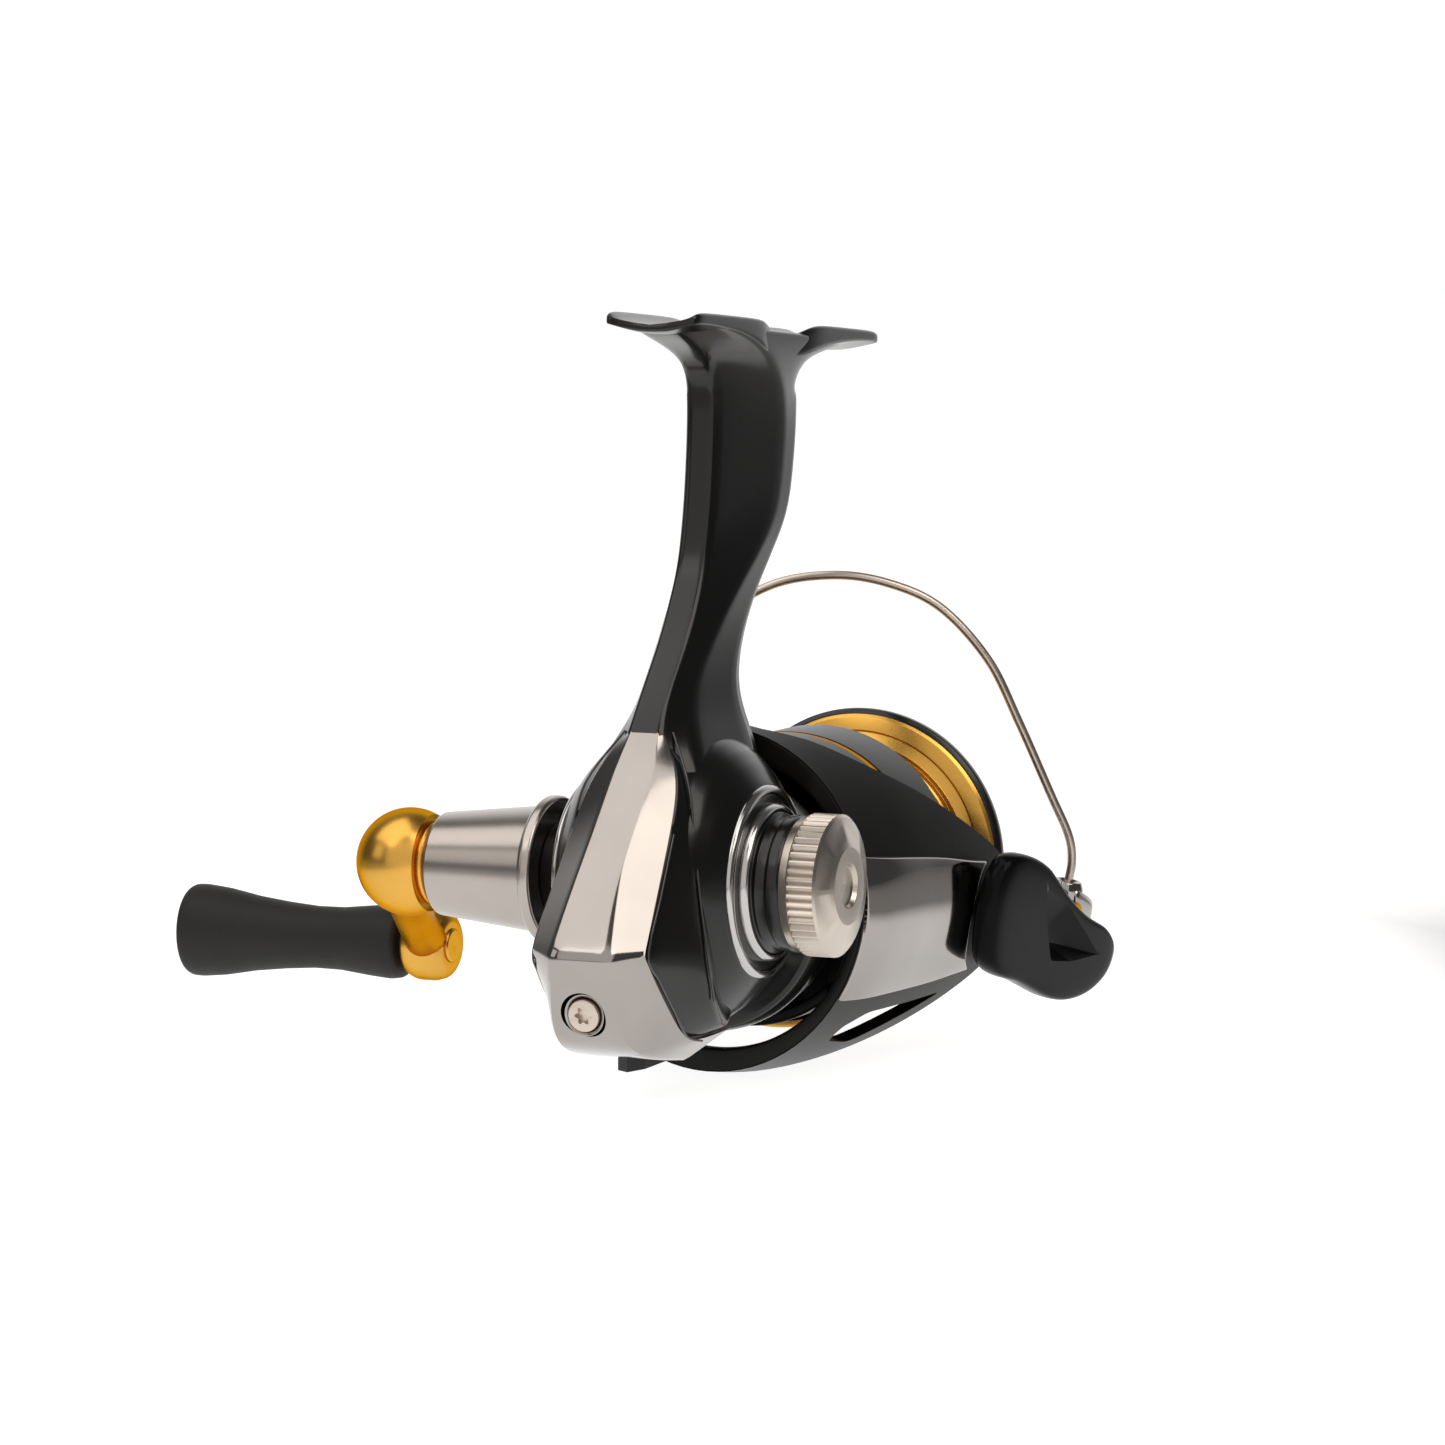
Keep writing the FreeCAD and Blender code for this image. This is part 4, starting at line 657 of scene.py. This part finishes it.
def make_spool():
    """The gold spool with its grooved bed, its black lip and the black bands on its skirt."""
    grooves = []
    for k in range(GROOVES):
        x = GROOVES_FROM - k * (GROOVES_FROM - GROOVES_TO) / GROOVES
        grooves += [(x, CREST), (x - 0.38, CREST), (x - 0.42, VALLEY), (x - 0.55, VALLEY)]
    front = [(41.0, 5.6), (41.0, 3.1), (50.0, 3.1), (50.0, 10.2), (60.4, 10.2), (61.4, 11.5), (61.4, 18.2),
             (59.7, 18.2), (59.7, 19.3), (59.35, 18.9), (58.75, 17.2), (58.9, 17.0), (58.3, 15.6),
             (57.5, 15.35), (57.5, 14.9)]
    skirt = [(46.4, 14.6), (46.3, 18.6), (35.5, 18.6), (35.5, 18.95), (34.9, 19.0), (30.6, 19.0),
             (30.5, 18.8), (30.5, 18.1), (44.6, 18.1), (44.6, 13.0), (47.5, 13.0), (47.5, 5.6)]
    lathe("spool_metal", SHAFT, front + grooves + skirt, "spool", "gold", ("spool",), around=192,
          round_by=0.06)
    lip = [(59.68, 18.3), (59.68, 19.35), (60.1, 19.95), (60.6, 20.0), (61.3, 19.95), (61.85, 19.3),
           (61.9, 18.9), (61.9, 18.3)]
    lathe("spool_lip", SHAFT, lip, "spool", "gloss_black", ("spool_lip_ring",), around=192, round_by=0.15)
    band = [(35.52, 18.6), (35.52, 18.9), (35.8, 19.02), (45.9, 19.02), (46.45, 18.75), (46.5, 18.3),
            (46.5, 14.7), (46.3, 14.7), (46.3, 18.6)]
    lathe("skirt_band", SHAFT, band, "spool", "satin_black", ("spool_skirt_band",), around=192, round_by=0.15)
    lathe("skirt_back_band", SHAFT, [(30.9, 18.99), (30.9, 19.02), (34.2, 19.02), (34.2, 18.99)],
          "spool", "satin_black", around=192, round_by=0)


# ---- Rotor and its arms ----------------------------------------------
# Stations along the shaft: half width and half height of the shell's outside, and the height at which its
# arms' front edge is cut
SHELL = smooth_table([(10.5, 20.4, 22.05), (18, 21.6, 23.15), (26, 22.8, 24.1), (38, 24.2, 24.9),
                      (50, 25.1, 25.5)])
FRONT_EDGE = smooth_table([(12.6, 22.35), (16.2, 21.6), (22, 19.2), (31, 15.6), (40, 11.4), (47, 7.7),
                           (51, 4.2)])
WINDOW = [(17.5, -15.6), (17.2, -13.4), (21, -11.4), (30, -10.9), (38.4, -10.3), (30, -13.6), (23.4, -16.4)]
ROTOR_BACK, ARM_TIP, SHELL_THICK = 10.5, 51.0, 1.7
PIVOT = 46.0               # the bail's pivot, along the shaft
# The arms' roots, boxes between the cup and the shell: their ends, half height and inner radius
ROOT_ENDS, ROOT_HALF, ROOT_INSIDE = (20.8, 30.5), 11, 17.3


def shell_point(x, share, side):
    """The shell's outside at a share of its height (-1 to 1) under the cut front edge."""
    across, up = table_at(SHELL, x)
    edge = min(table_at(FRONT_EDGE, x) if x > FRONT_EDGE[0][0] else up, up)
    z = share * edge
    y = across * math.sqrt(max(0.0, 1 - (z / (up + 1e-9)) ** 2))
    return Vector((x, side * y, z))


def shell_radius(x, angle):
    """The radius of the shell's outside all round."""
    across, up = table_at(SHELL, x)
    return 1 / math.hypot(math.sin(angle) / across, math.cos(angle) / up)


def make_rotor_shell():
    """The skin of the rotor's rim and its two arms, with a window low in each arm."""
    rows, steps = 48, 20
    stations = [ROTOR_BACK + (ARM_TIP - ROTOR_BACK) * k / rows for k in range(rows + 1)]
    shares = [math.sin(math.pi / 2 * (k / steps - 1)) for k in range(2 * steps + 1)]
    size = len(shares)
    verts, faces = [], []
    for side in (-1, 1):
        first = len(verts)
        for x in stations:
            verts += [shell_point(x, share, side) for share in shares]
        for r in range(rows):
            for j in range(size - 1):
                a = first + r * size + j
                faces.append((a, a + 1, a + 1 + size, a + size))
    shell = piece("rotor_shell", verts, faces, ROTOR, "rotor", "satin_black")
    thick = shell.modifiers.new("Thick", "SOLIDIFY")
    thick.thickness = SHELL_THICK * MM
    thick.offset = -1.0
    bake(shell)
    for turn in (0, math.pi):
        place = ROTOR @ Matrix.Rotation(turn, 4, "X")
        outline = soften(WINDOW, 1.2, closed=True)
        rings = [[(p.x, y, p.y) for p in outline] for y in (-30, -8)]
        cut(shell, loft("cutter", place, rings, "rotor", "satin_black", levels=0))
    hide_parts("rotor")


def make_rotor_hoop():
    """The stiff hoop round the back of the shell."""
    front, step_front, inside = 13.6, 12.6, 19.0
    around = 128
    hoop = []
    for k in range(around):
        angle = 2 * math.pi * k / around
        outer = shell_radius(ROTOR_BACK, angle)
        section = soften([(ROTOR_BACK, inside), (ROTOR_BACK, outer), (front, outer + 0.2),
                          (front, outer - 1.2), (step_front, inside)], 0.4, closed=True)
        hoop.append([(p.x, -p.y * math.sin(angle), p.y * math.cos(angle)) for p in section])
    size = len(hoop[0])
    verts = [p for ring in hoop for p in ring]
    faces = []
    for k in range(around):
        here, ahead = k * size, (k + 1) % around * size
        for j in range(size):
            beside = (j + 1) % size
            faces.append((here + j, here + beside, ahead + beside, ahead + j))
    piece("rotor_hoop", verts, faces, ROTOR, "rotor", "satin_black")


def make_rotor_inside():
    """The cup under the spool's skirt, and the root of each arm on it."""
    cup = [(20.8, 16.0), (20.8, 17.5), (41.6, 17.5), (42.0, 17.1), (42.0, 16.0), (33.9, 16.0), (33.9, 6.5),
           (35.0, 6.3), (35.0, 3.1), (31.3, 3.1), (31.3, 16.0)]
    lathe("rotor_cup", ROTOR, cup, "rotor", "satin_black", round_by=0.3)
    for side, hand in ((-1, "near"), (1, "far")):
        verts = []
        for x in ROOT_ENDS:
            across, up = table_at(SHELL, x)
            for z in (-ROOT_HALF, ROOT_HALF):
                inner = math.sqrt(ROOT_INSIDE ** 2 - z ** 2)
                outer = (across - 1.2) * math.sqrt(1 - (z / up) ** 2)
                verts += [(x, side * inner, z), (x, side * outer, z)]
        faces = [(0, 1, 3, 2), (4, 5, 7, 6), (0, 1, 5, 4), (2, 3, 7, 6), (0, 2, 6, 4), (1, 3, 7, 5)]
        piece("rotor_root_" + hand, verts, faces, ROTOR, "rotor", "satin_black")


# Stations along an arm: the plate's upper and lower edge, then how far it stands out of the shell
PLATE = smooth_table([(10.8, 9.9, -8.6), (20, 9.4, -8.4), (30, 8.6, -8.1), (38, 7.6, -7.5), (46, 6.9, -6.9)])
PLATE_OUT = smooth_table([(10.8, 0.55), (14.0, 1.1), (18, 1.15), (26, 0.8), (36, 0.75), (46, 0.8)])
PLATE_BACK, PLATE_SUNK, PLATE_GAP = 10.8, 0.6, 0.2
HUB_RADIUS, HUB_HALF = 8.2, 7.0        # the round hollow at the plate's front: its radius and half height


def make_plate(name, side, node):
    """The bright cover let into an arm's side, hollowed at its front round the lever's pivot."""
    rows, across = 40, 16
    top, bottom = [], []
    for r in range(rows + 1):
        share = r / rows
        ring_top, ring_bottom = [], []
        for k in range(across + 1):
            t = 2 * k / across - 1
            hollow = math.sqrt(max(0.0, HUB_RADIUS ** 2 - (HUB_HALF * t) ** 2))
            front = PIVOT - hollow - PLATE_GAP
            x = PLATE_BACK + (front - PLATE_BACK) * share
            high, low = table_at(PLATE, x)
            z = (high + low) / 2 + t * (high - low) / 2
            width, up = table_at(SHELL, x)
            base = width * math.sqrt(1 - (z / up) ** 2)
            ring_top.append((x, side * (base + table_at(PLATE_OUT, x)), z))
            ring_bottom.append((x, side * (base - PLATE_SUNK), z))
        top.append(ring_top)
        bottom.append(ring_bottom)
    verts = [p for ring in top + bottom for p in ring]
    size, lower = across + 1, (rows + 1) * (across + 1)
    faces = []
    for r in range(rows):
        for k in range(across):
            a = r * size + k
            faces.append((a, a + 1, a + 1 + size, a + size))
            faces.append((a + lower, a + size + lower, a + 1 + size + lower, a + 1 + lower))
    rim = [k for k in range(size)]
    rim += [r * size + across for r in range(1, rows + 1)]
    rim += [rows * size + k for k in range(across - 1, -1, -1)]
    rim += [r * size for r in range(rows - 1, 0, -1)]
    for a, b in zip(rim, rim[1:] + rim[:1]):
        faces.append((a, b, b + lower, a + lower))
    plate = piece(name, verts, faces, ROTOR, "rotor", "dark_chrome", (node,))
    soft = plate.modifiers.new("Edge", "BEVEL")
    soft.width = 0.22 * MM
    soft.segments = 3
    soft.angle_limit = math.radians(50)
    bake(plate)


# ---- Bail ------------------------------------------------------------
# Outlines seen from the side, (along, up): the lever, the scoop in its face and the arm opposite. Levels
# are (distance out, share of the outline's size)
LEVER = [(44.8, 8.7), (48.6, 7.3), (51.4, 5.5), (55.9, 2.5), (60.8, -0.1), (64.2, -1.4), (67.6, -2.7),
         (70.4, -5.0), (70.6, -7.4), (69.2, -9.6), (65.6, -11.4), (60.6, -12.0), (56.0, -11.4), (51.6, -10.0),
         (46.6, -8.3), (41.4, -7.0), (38.2, -4.8), (37.1, -1.6), (36.8, 1.2), (37.1, 5.0), (38.6, 8.3),
         (41.2, 9.2)]
LEVER_LEVELS = [(26.3, 0.88), (26.6, 0.96), (27.4, 1.0), (29.0, 1.0), (29.6, 0.985), (29.95, 0.95),
                (30.12, 0.88), (30.15, 0.6), (30.15, 0.25)]
LEVER_LEAN = 0.175         # how far it leans out per millimetre forward of the pivot
HOLLOW = [(48.3, 4.6), (50.2, -1.0), (52.8, -5.8), (58.5, -6.3), (65.4, -5.9), (60.0, -1.9), (54.6, 1.9)]
HOLLOW_LEVELS = [(27.9, 0.04), (28.05, 0.25), (28.4, 0.5), (30.2, 1.0), (32.0, 1.25)]
HOLLOW_DEEPEST = Vector((54.0, -3.6, 0))
HOLDER = [(46, 6.6), (50.5, 6.4), (53.6, 3.6), (53.8, -1.5), (51.5, -5.2), (47, -6.4), (42.4, -5.2),
          (40, -1.8), (40, 1.8), (42.2, 5.2)]
HOLDER_LEVELS = [(26.6, 0.9), (26.9, 0.97), (27.6, 1.0), (28.4, 1.0), (29.1, 0.95), (29.5, 0.7), (29.6, 0.3)]
HOLDER_LEAN = 0.05
WIRE = [(66.6, -27.0, -0.4), (66.7, -27.0, 2.0), (66.9, -26.9, 5.2), (66.4, -25.9, 8.6), (65.0, -22.9, 13.6),
        (62.9, -17.4, 22.4), (61.2, -12.2, 29.8), (59.3, -5.0, 35.4), (57.0, 2.0, 37.3), (54.9, 9.0, 37.0),
        (52.8, 16.5, 34.2), (51.0, 22.5, 28.4), (49.8, 26.4, 19.6), (49.2, 28.0, 11.6), (49.0, 28.3, 4.5)]
WIRE_RADIUS = 0.6
# The bracket that holds the roller's pin, back to front: (along, its section's corners)
BRACKET = [
    (65.2, [(-29.2, 1.8), (-27.2, 1.9), (-27.0, -2.4), (-29.2, -2.6)]),
    (67.4, [(-29.6, 1.3), (-27.0, 1.4), (-26.8, -3.0), (-29.6, -3.2)]),
    (69.8, [(-30.0, 0.1), (-27.4, 0.2), (-27.2, -3.2), (-30.0, -3.4)]),
    (70.7, [(-29.8, -1.0), (-27.7, -0.9), (-27.6, -2.8), (-29.8, -3.0)]),
]


def lever_rings(outline, side, levels, lean, middle=None):
    """Rings of a plump plate that leans outwards, the outline scaled about the middle at each level."""
    if middle is None:
        middle = sum(outline, Vector()) / len(outline)
    rings = []
    for out, share in levels:
        ring = []
        for p in outline:
            q = middle + (p - middle) * share
            ring.append((q.x, side * (out + lean * (q.x - PIVOT)), q.y))
        rings.append(ring)
    return rings


def make_bail_arms():
    """The lever with the scoop in its face, and the plain arm that holds the wire's other end."""
    outline = spline([(x, z, 0) for x, z in LEVER], 3, closed=True)
    rings = lever_rings(outline, -1, LEVER_LEVELS, LEVER_LEAN)
    lever = loft("bail_lever", ROTOR, rings, "bail", "lever_black", ("bail_arm",), levels=1)
    bake(lever, 40)
    hollow = soften(HOLLOW, 0.8, closed=True)
    scoop = lever_rings(hollow, -1, HOLLOW_LEVELS, LEVER_LEAN, HOLLOW_DEEPEST)
    cut(lever, loft("cutter", ROTOR, scoop, "bail", "lever_black", levels=0), 28)
    outline = spline([(x, z, 0) for x, z in HOLDER], 3, closed=True)
    rings = lever_rings(outline, 1, HOLDER_LEVELS, HOLDER_LEAN)
    loft("bail_holder_arm", ROTOR, rings, "bail", "gloss_black", ("bail_holder",), levels=1)


def make_wire():
    """The wire loop, and the round seat it runs into beside the roller."""
    tube("wire_loop", ROTOR, spline(WIRE, 10), WIRE_RADIUS, "bail", "steel", ("bail_wire",), around=20)
    seat = ROTOR @ Matrix.Translation((66.6, -27.0, 0)) @ Matrix.Rotation(math.radians(-90), 4, "Y")
    dish = [(-1.4, 0), (-1.4, 1.9), (-0.6, 2.25), (1.6, 2.2), (2.5, 1.85), (2.6, 1.5), (2.1, 0.75),
            (1.2, 0.5), (1.2, 0)]
    lathe("wire_seat", seat, dish, "bail", "dark_chrome", ("roller_bracket",), around=64, round_by=0.25)


def make_roller():
    """The line roller and the bracket arm beside it."""
    block = [[(x, y, z) for y, z in section] for x, section in BRACKET]
    loft("roller_bracket_arm", ROTOR, block, "bail", "dark_chrome", levels=2,
         long_creases={k: 0.5 for k in range(4)}, ring_creases={0: 0.8, -1: 0.6})
    roll = ROTOR @ Matrix.Translation((64.6, -30.1, -2.6)) @ Matrix.Rotation(math.radians(90), 4, "Z")
    waist = [(0.5, 1.56), (2.7, 1.56), (2.7, 2.8), (2.5, 2.9), (2.2, 2.3), (1.9, 2.15), (1.3, 2.15),
             (1.0, 2.3), (0.7, 2.9), (0.5, 2.8)]
    lathe("line_roller_skin", roll, waist, "line_roller", "gold", ("line_roller",), around=96, round_by=0.1)


# ---- Light, floor and camera -----------------------------------------
# Where each soft box stands from the object's middle, its side, its radiance and its warmth
SOFT_BOXES = {
    "key_box": ((-0.34, -0.54, 0.74), 0.62, 2.7, (1.0, 0.94, 0.87)),
    "top_box": ((-0.30, 0.36, 0.85), 1.0, 1.6, (1.0, 0.96, 0.92)),
    "left_box": ((-0.60, 0.75, 0.30), 0.40, 1.0, (1.0, 0.95, 0.90)),
    "fill_box": ((-1.02, -0.12, 0.24), 1.5, 0.75, (1.0, 0.95, 0.90)),
}
ROOM_LIGHT, BACKDROP_LIGHT = 0.10, 1.1
FLOOR_GLOW, FLOOR_DIM = 0.92, 0.10
POOL_DEEP, POOL_WIDE = 0.55, 0.13      # half lengths of the bright pool round the object
POOL_FADE = (0.85, 1.25)   # shares of those half lengths between which it fades
FACING_FADE = (0.45, 0.9)  # cosines off the view direction between which the far side brightens
PAPER, FLOOR_HALF, FLOOR_DROP = 0.35, 8.0, 0.0002


def fade(nodes, span, low, high):
    """A node that turns smoothly from low to high as its value crosses the span."""
    node = nodes.new("ShaderNodeMapRange")
    node.interpolation_type = "SMOOTHSTEP"
    for socket, value in zip(("From Min", "From Max", "To Min", "To Max"), (*span, low, high)):
        node.inputs[socket].default_value = value
    return node


def facing_light(nodes, links, direction, low, high):
    """Light from low at the side to high straight away from the camera, by a direction along the ground."""
    facing = nodes.new("ShaderNodeVectorMath")
    facing.operation = "DOT_PRODUCT"
    facing.inputs[1].default_value = (math.cos(AZIMUTH), math.sin(AZIMUTH), 0.0)
    spread = fade(nodes, FACING_FADE, low, high)
    links.new(direction, facing.inputs[0])
    links.new(facing.outputs["Value"], spread.inputs["Value"])
    return spread.outputs["Result"]


def make_floor(low, centre):
    """A sheet of paper that glows round the object and beyond it, and is dim elsewhere."""
    corners = ((-1, -1), (1, -1), (1, 1), (-1, 1))
    mesh = bpy.data.meshes.new("floor")
    mesh.from_pydata([(x * FLOOR_HALF, y * FLOOR_HALF, 0) for x, y in corners], [], [(0, 1, 2, 3)])
    floor = bpy.data.objects.new("floor", mesh)
    floor.location = (centre.x, centre.y, low.z - FLOOR_DROP)
    bpy.context.scene.collection.objects.link(floor)
    paper = bpy.data.materials.new("paper")
    paper.use_nodes = True
    nodes, links = paper.node_tree.nodes, paper.node_tree.links
    shader = nodes["Principled BSDF"]
    shader.inputs["Base Color"].default_value = (PAPER, PAPER, PAPER, 1)
    shader.inputs["Roughness"].default_value = 0.9
    shader.inputs["Specular IOR Level"].default_value = 0.1
    shader.inputs["Emission Color"].default_value = (1, 1, 1, 1)
    place = nodes.new("ShaderNodeTexCoord")
    direction = nodes.new("ShaderNodeVectorMath")
    direction.operation = "NORMALIZE"
    links.new(place.outputs["Object"], direction.inputs[0])
    beyond = facing_light(nodes, links, direction.outputs["Vector"], FLOOR_DIM, FLOOR_GLOW)
    pool = nodes.new("ShaderNodeMapping")
    pool.vector_type = "TEXTURE"
    pool.inputs["Rotation"].default_value = (0, 0, AZIMUTH)
    pool.inputs["Scale"].default_value = (POOL_DEEP, POOL_WIDE, 1)
    links.new(place.outputs["Object"], pool.inputs["Vector"])
    away = nodes.new("ShaderNodeVectorMath")
    away.operation = "LENGTH"
    links.new(pool.outputs["Vector"], away.inputs[0])
    near = fade(nodes, POOL_FADE, FLOOR_GLOW, FLOOR_DIM)
    links.new(away.outputs["Value"], near.inputs["Value"])
    brighter = nodes.new("ShaderNodeMath")
    brighter.operation = "MAXIMUM"
    links.new(beyond, brighter.inputs[0])
    links.new(near.outputs["Result"], brighter.inputs[1])
    links.new(brighter.outputs["Value"], shader.inputs["Emission Strength"])
    mesh.materials.append(paper)


def make_stage():
    """The floor, the room's light and the soft boxes."""
    low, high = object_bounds()
    centre = (low + high) / 2
    make_floor(low, centre)
    # the room is dim, and bright only on the far side of the object, where the backdrop hangs
    world = bpy.data.worlds.new("studio")
    bpy.context.scene.world = world
    world.use_nodes = True
    nodes, links = world.node_tree.nodes, world.node_tree.links
    direction = nodes.new("ShaderNodeTexCoord")
    light = facing_light(nodes, links, direction.outputs["Generated"], ROOM_LIGHT, BACKDROP_LIGHT)
    links.new(light, nodes["Background"].inputs["Strength"])
    nodes["Background"].inputs["Color"].default_value = (1, 1, 1, 1)

    for name, (offset, size, radiance, warmth) in SOFT_BOXES.items():
        lamp = bpy.data.lights.new(name, "AREA")
        lamp.shape = "SQUARE"
        lamp.size = size
        lamp.color = warmth
        lamp.energy = radiance * math.pi * size ** 2
        shown = bpy.data.objects.new(name, lamp)
        bpy.context.scene.collection.objects.link(shown)
        shown.location = centre + Vector(offset)
        shown.rotation_mode = "QUATERNION"
        shown.rotation_quaternion = (-Vector(offset)).to_track_quat("-Z", "Y")
    bpy.context.scene.view_settings.view_transform = "Standard"


AZIMUTH, ELEVATION, ROLL = math.radians(23.397), math.radians(5.519), math.radians(0.247)
FOCAL_SHARE = 4.133564     # focal length over the image's width
DISTANCE, RIGHT_SHIFT, UP_SHIFT = 798.85, -18.878, 17.903      # millimetres from the aim to the camera
SENSOR = 36.0
AIM = Vector((60.925, 0, 0))           # the spool lip's middle


def make_camera():
    """The photo's camera, placed from the middle of the spool's lip."""
    back = Vector((-math.cos(AZIMUTH) * math.cos(ELEVATION), -math.sin(AZIMUTH) * math.cos(ELEVATION),
                   math.sin(ELEVATION)))
    right = (-back).cross(Vector((0, 0, 1))).normalized()
    up = right.cross(-back)
    turned_right = right * math.cos(ROLL) + up * math.sin(ROLL)
    turned_up = up * math.cos(ROLL) - right * math.sin(ROLL)
    camera = bpy.data.cameras.new("camera")
    camera.lens = SENSOR * FOCAL_SHARE
    camera.sensor_width = SENSOR
    camera.clip_start, camera.clip_end = 0.01, 20
    shown = bpy.data.objects.new("camera", camera)
    bpy.context.scene.collection.objects.link(shown)
    at = hub + MM * (AIM + turned_right * RIGHT_SHIFT + turned_up * UP_SHIFT + back * DISTANCE)
    axes = Matrix((turned_right, turned_up, back)).transposed().to_4x4()
    shown.matrix_world = Matrix.Translation(at) @ axes
    bpy.context.scene.camera = shown


make_stem()
make_foot()
make_wedge()
make_rear_cover()
make_cover_screw()
make_drum()
make_trim()
make_lock_cap()
make_crank()
make_knob()
make_spool()
make_rotor_shell()
make_rotor_hoop()
make_rotor_inside()
make_plate("arm_plate", -1, "arm_cover")
make_plate("far_arm_plate", 1, "opposite_arm_cover")
make_bail_arms()
make_wire()
make_roller()
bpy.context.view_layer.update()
make_stage()
make_camera()
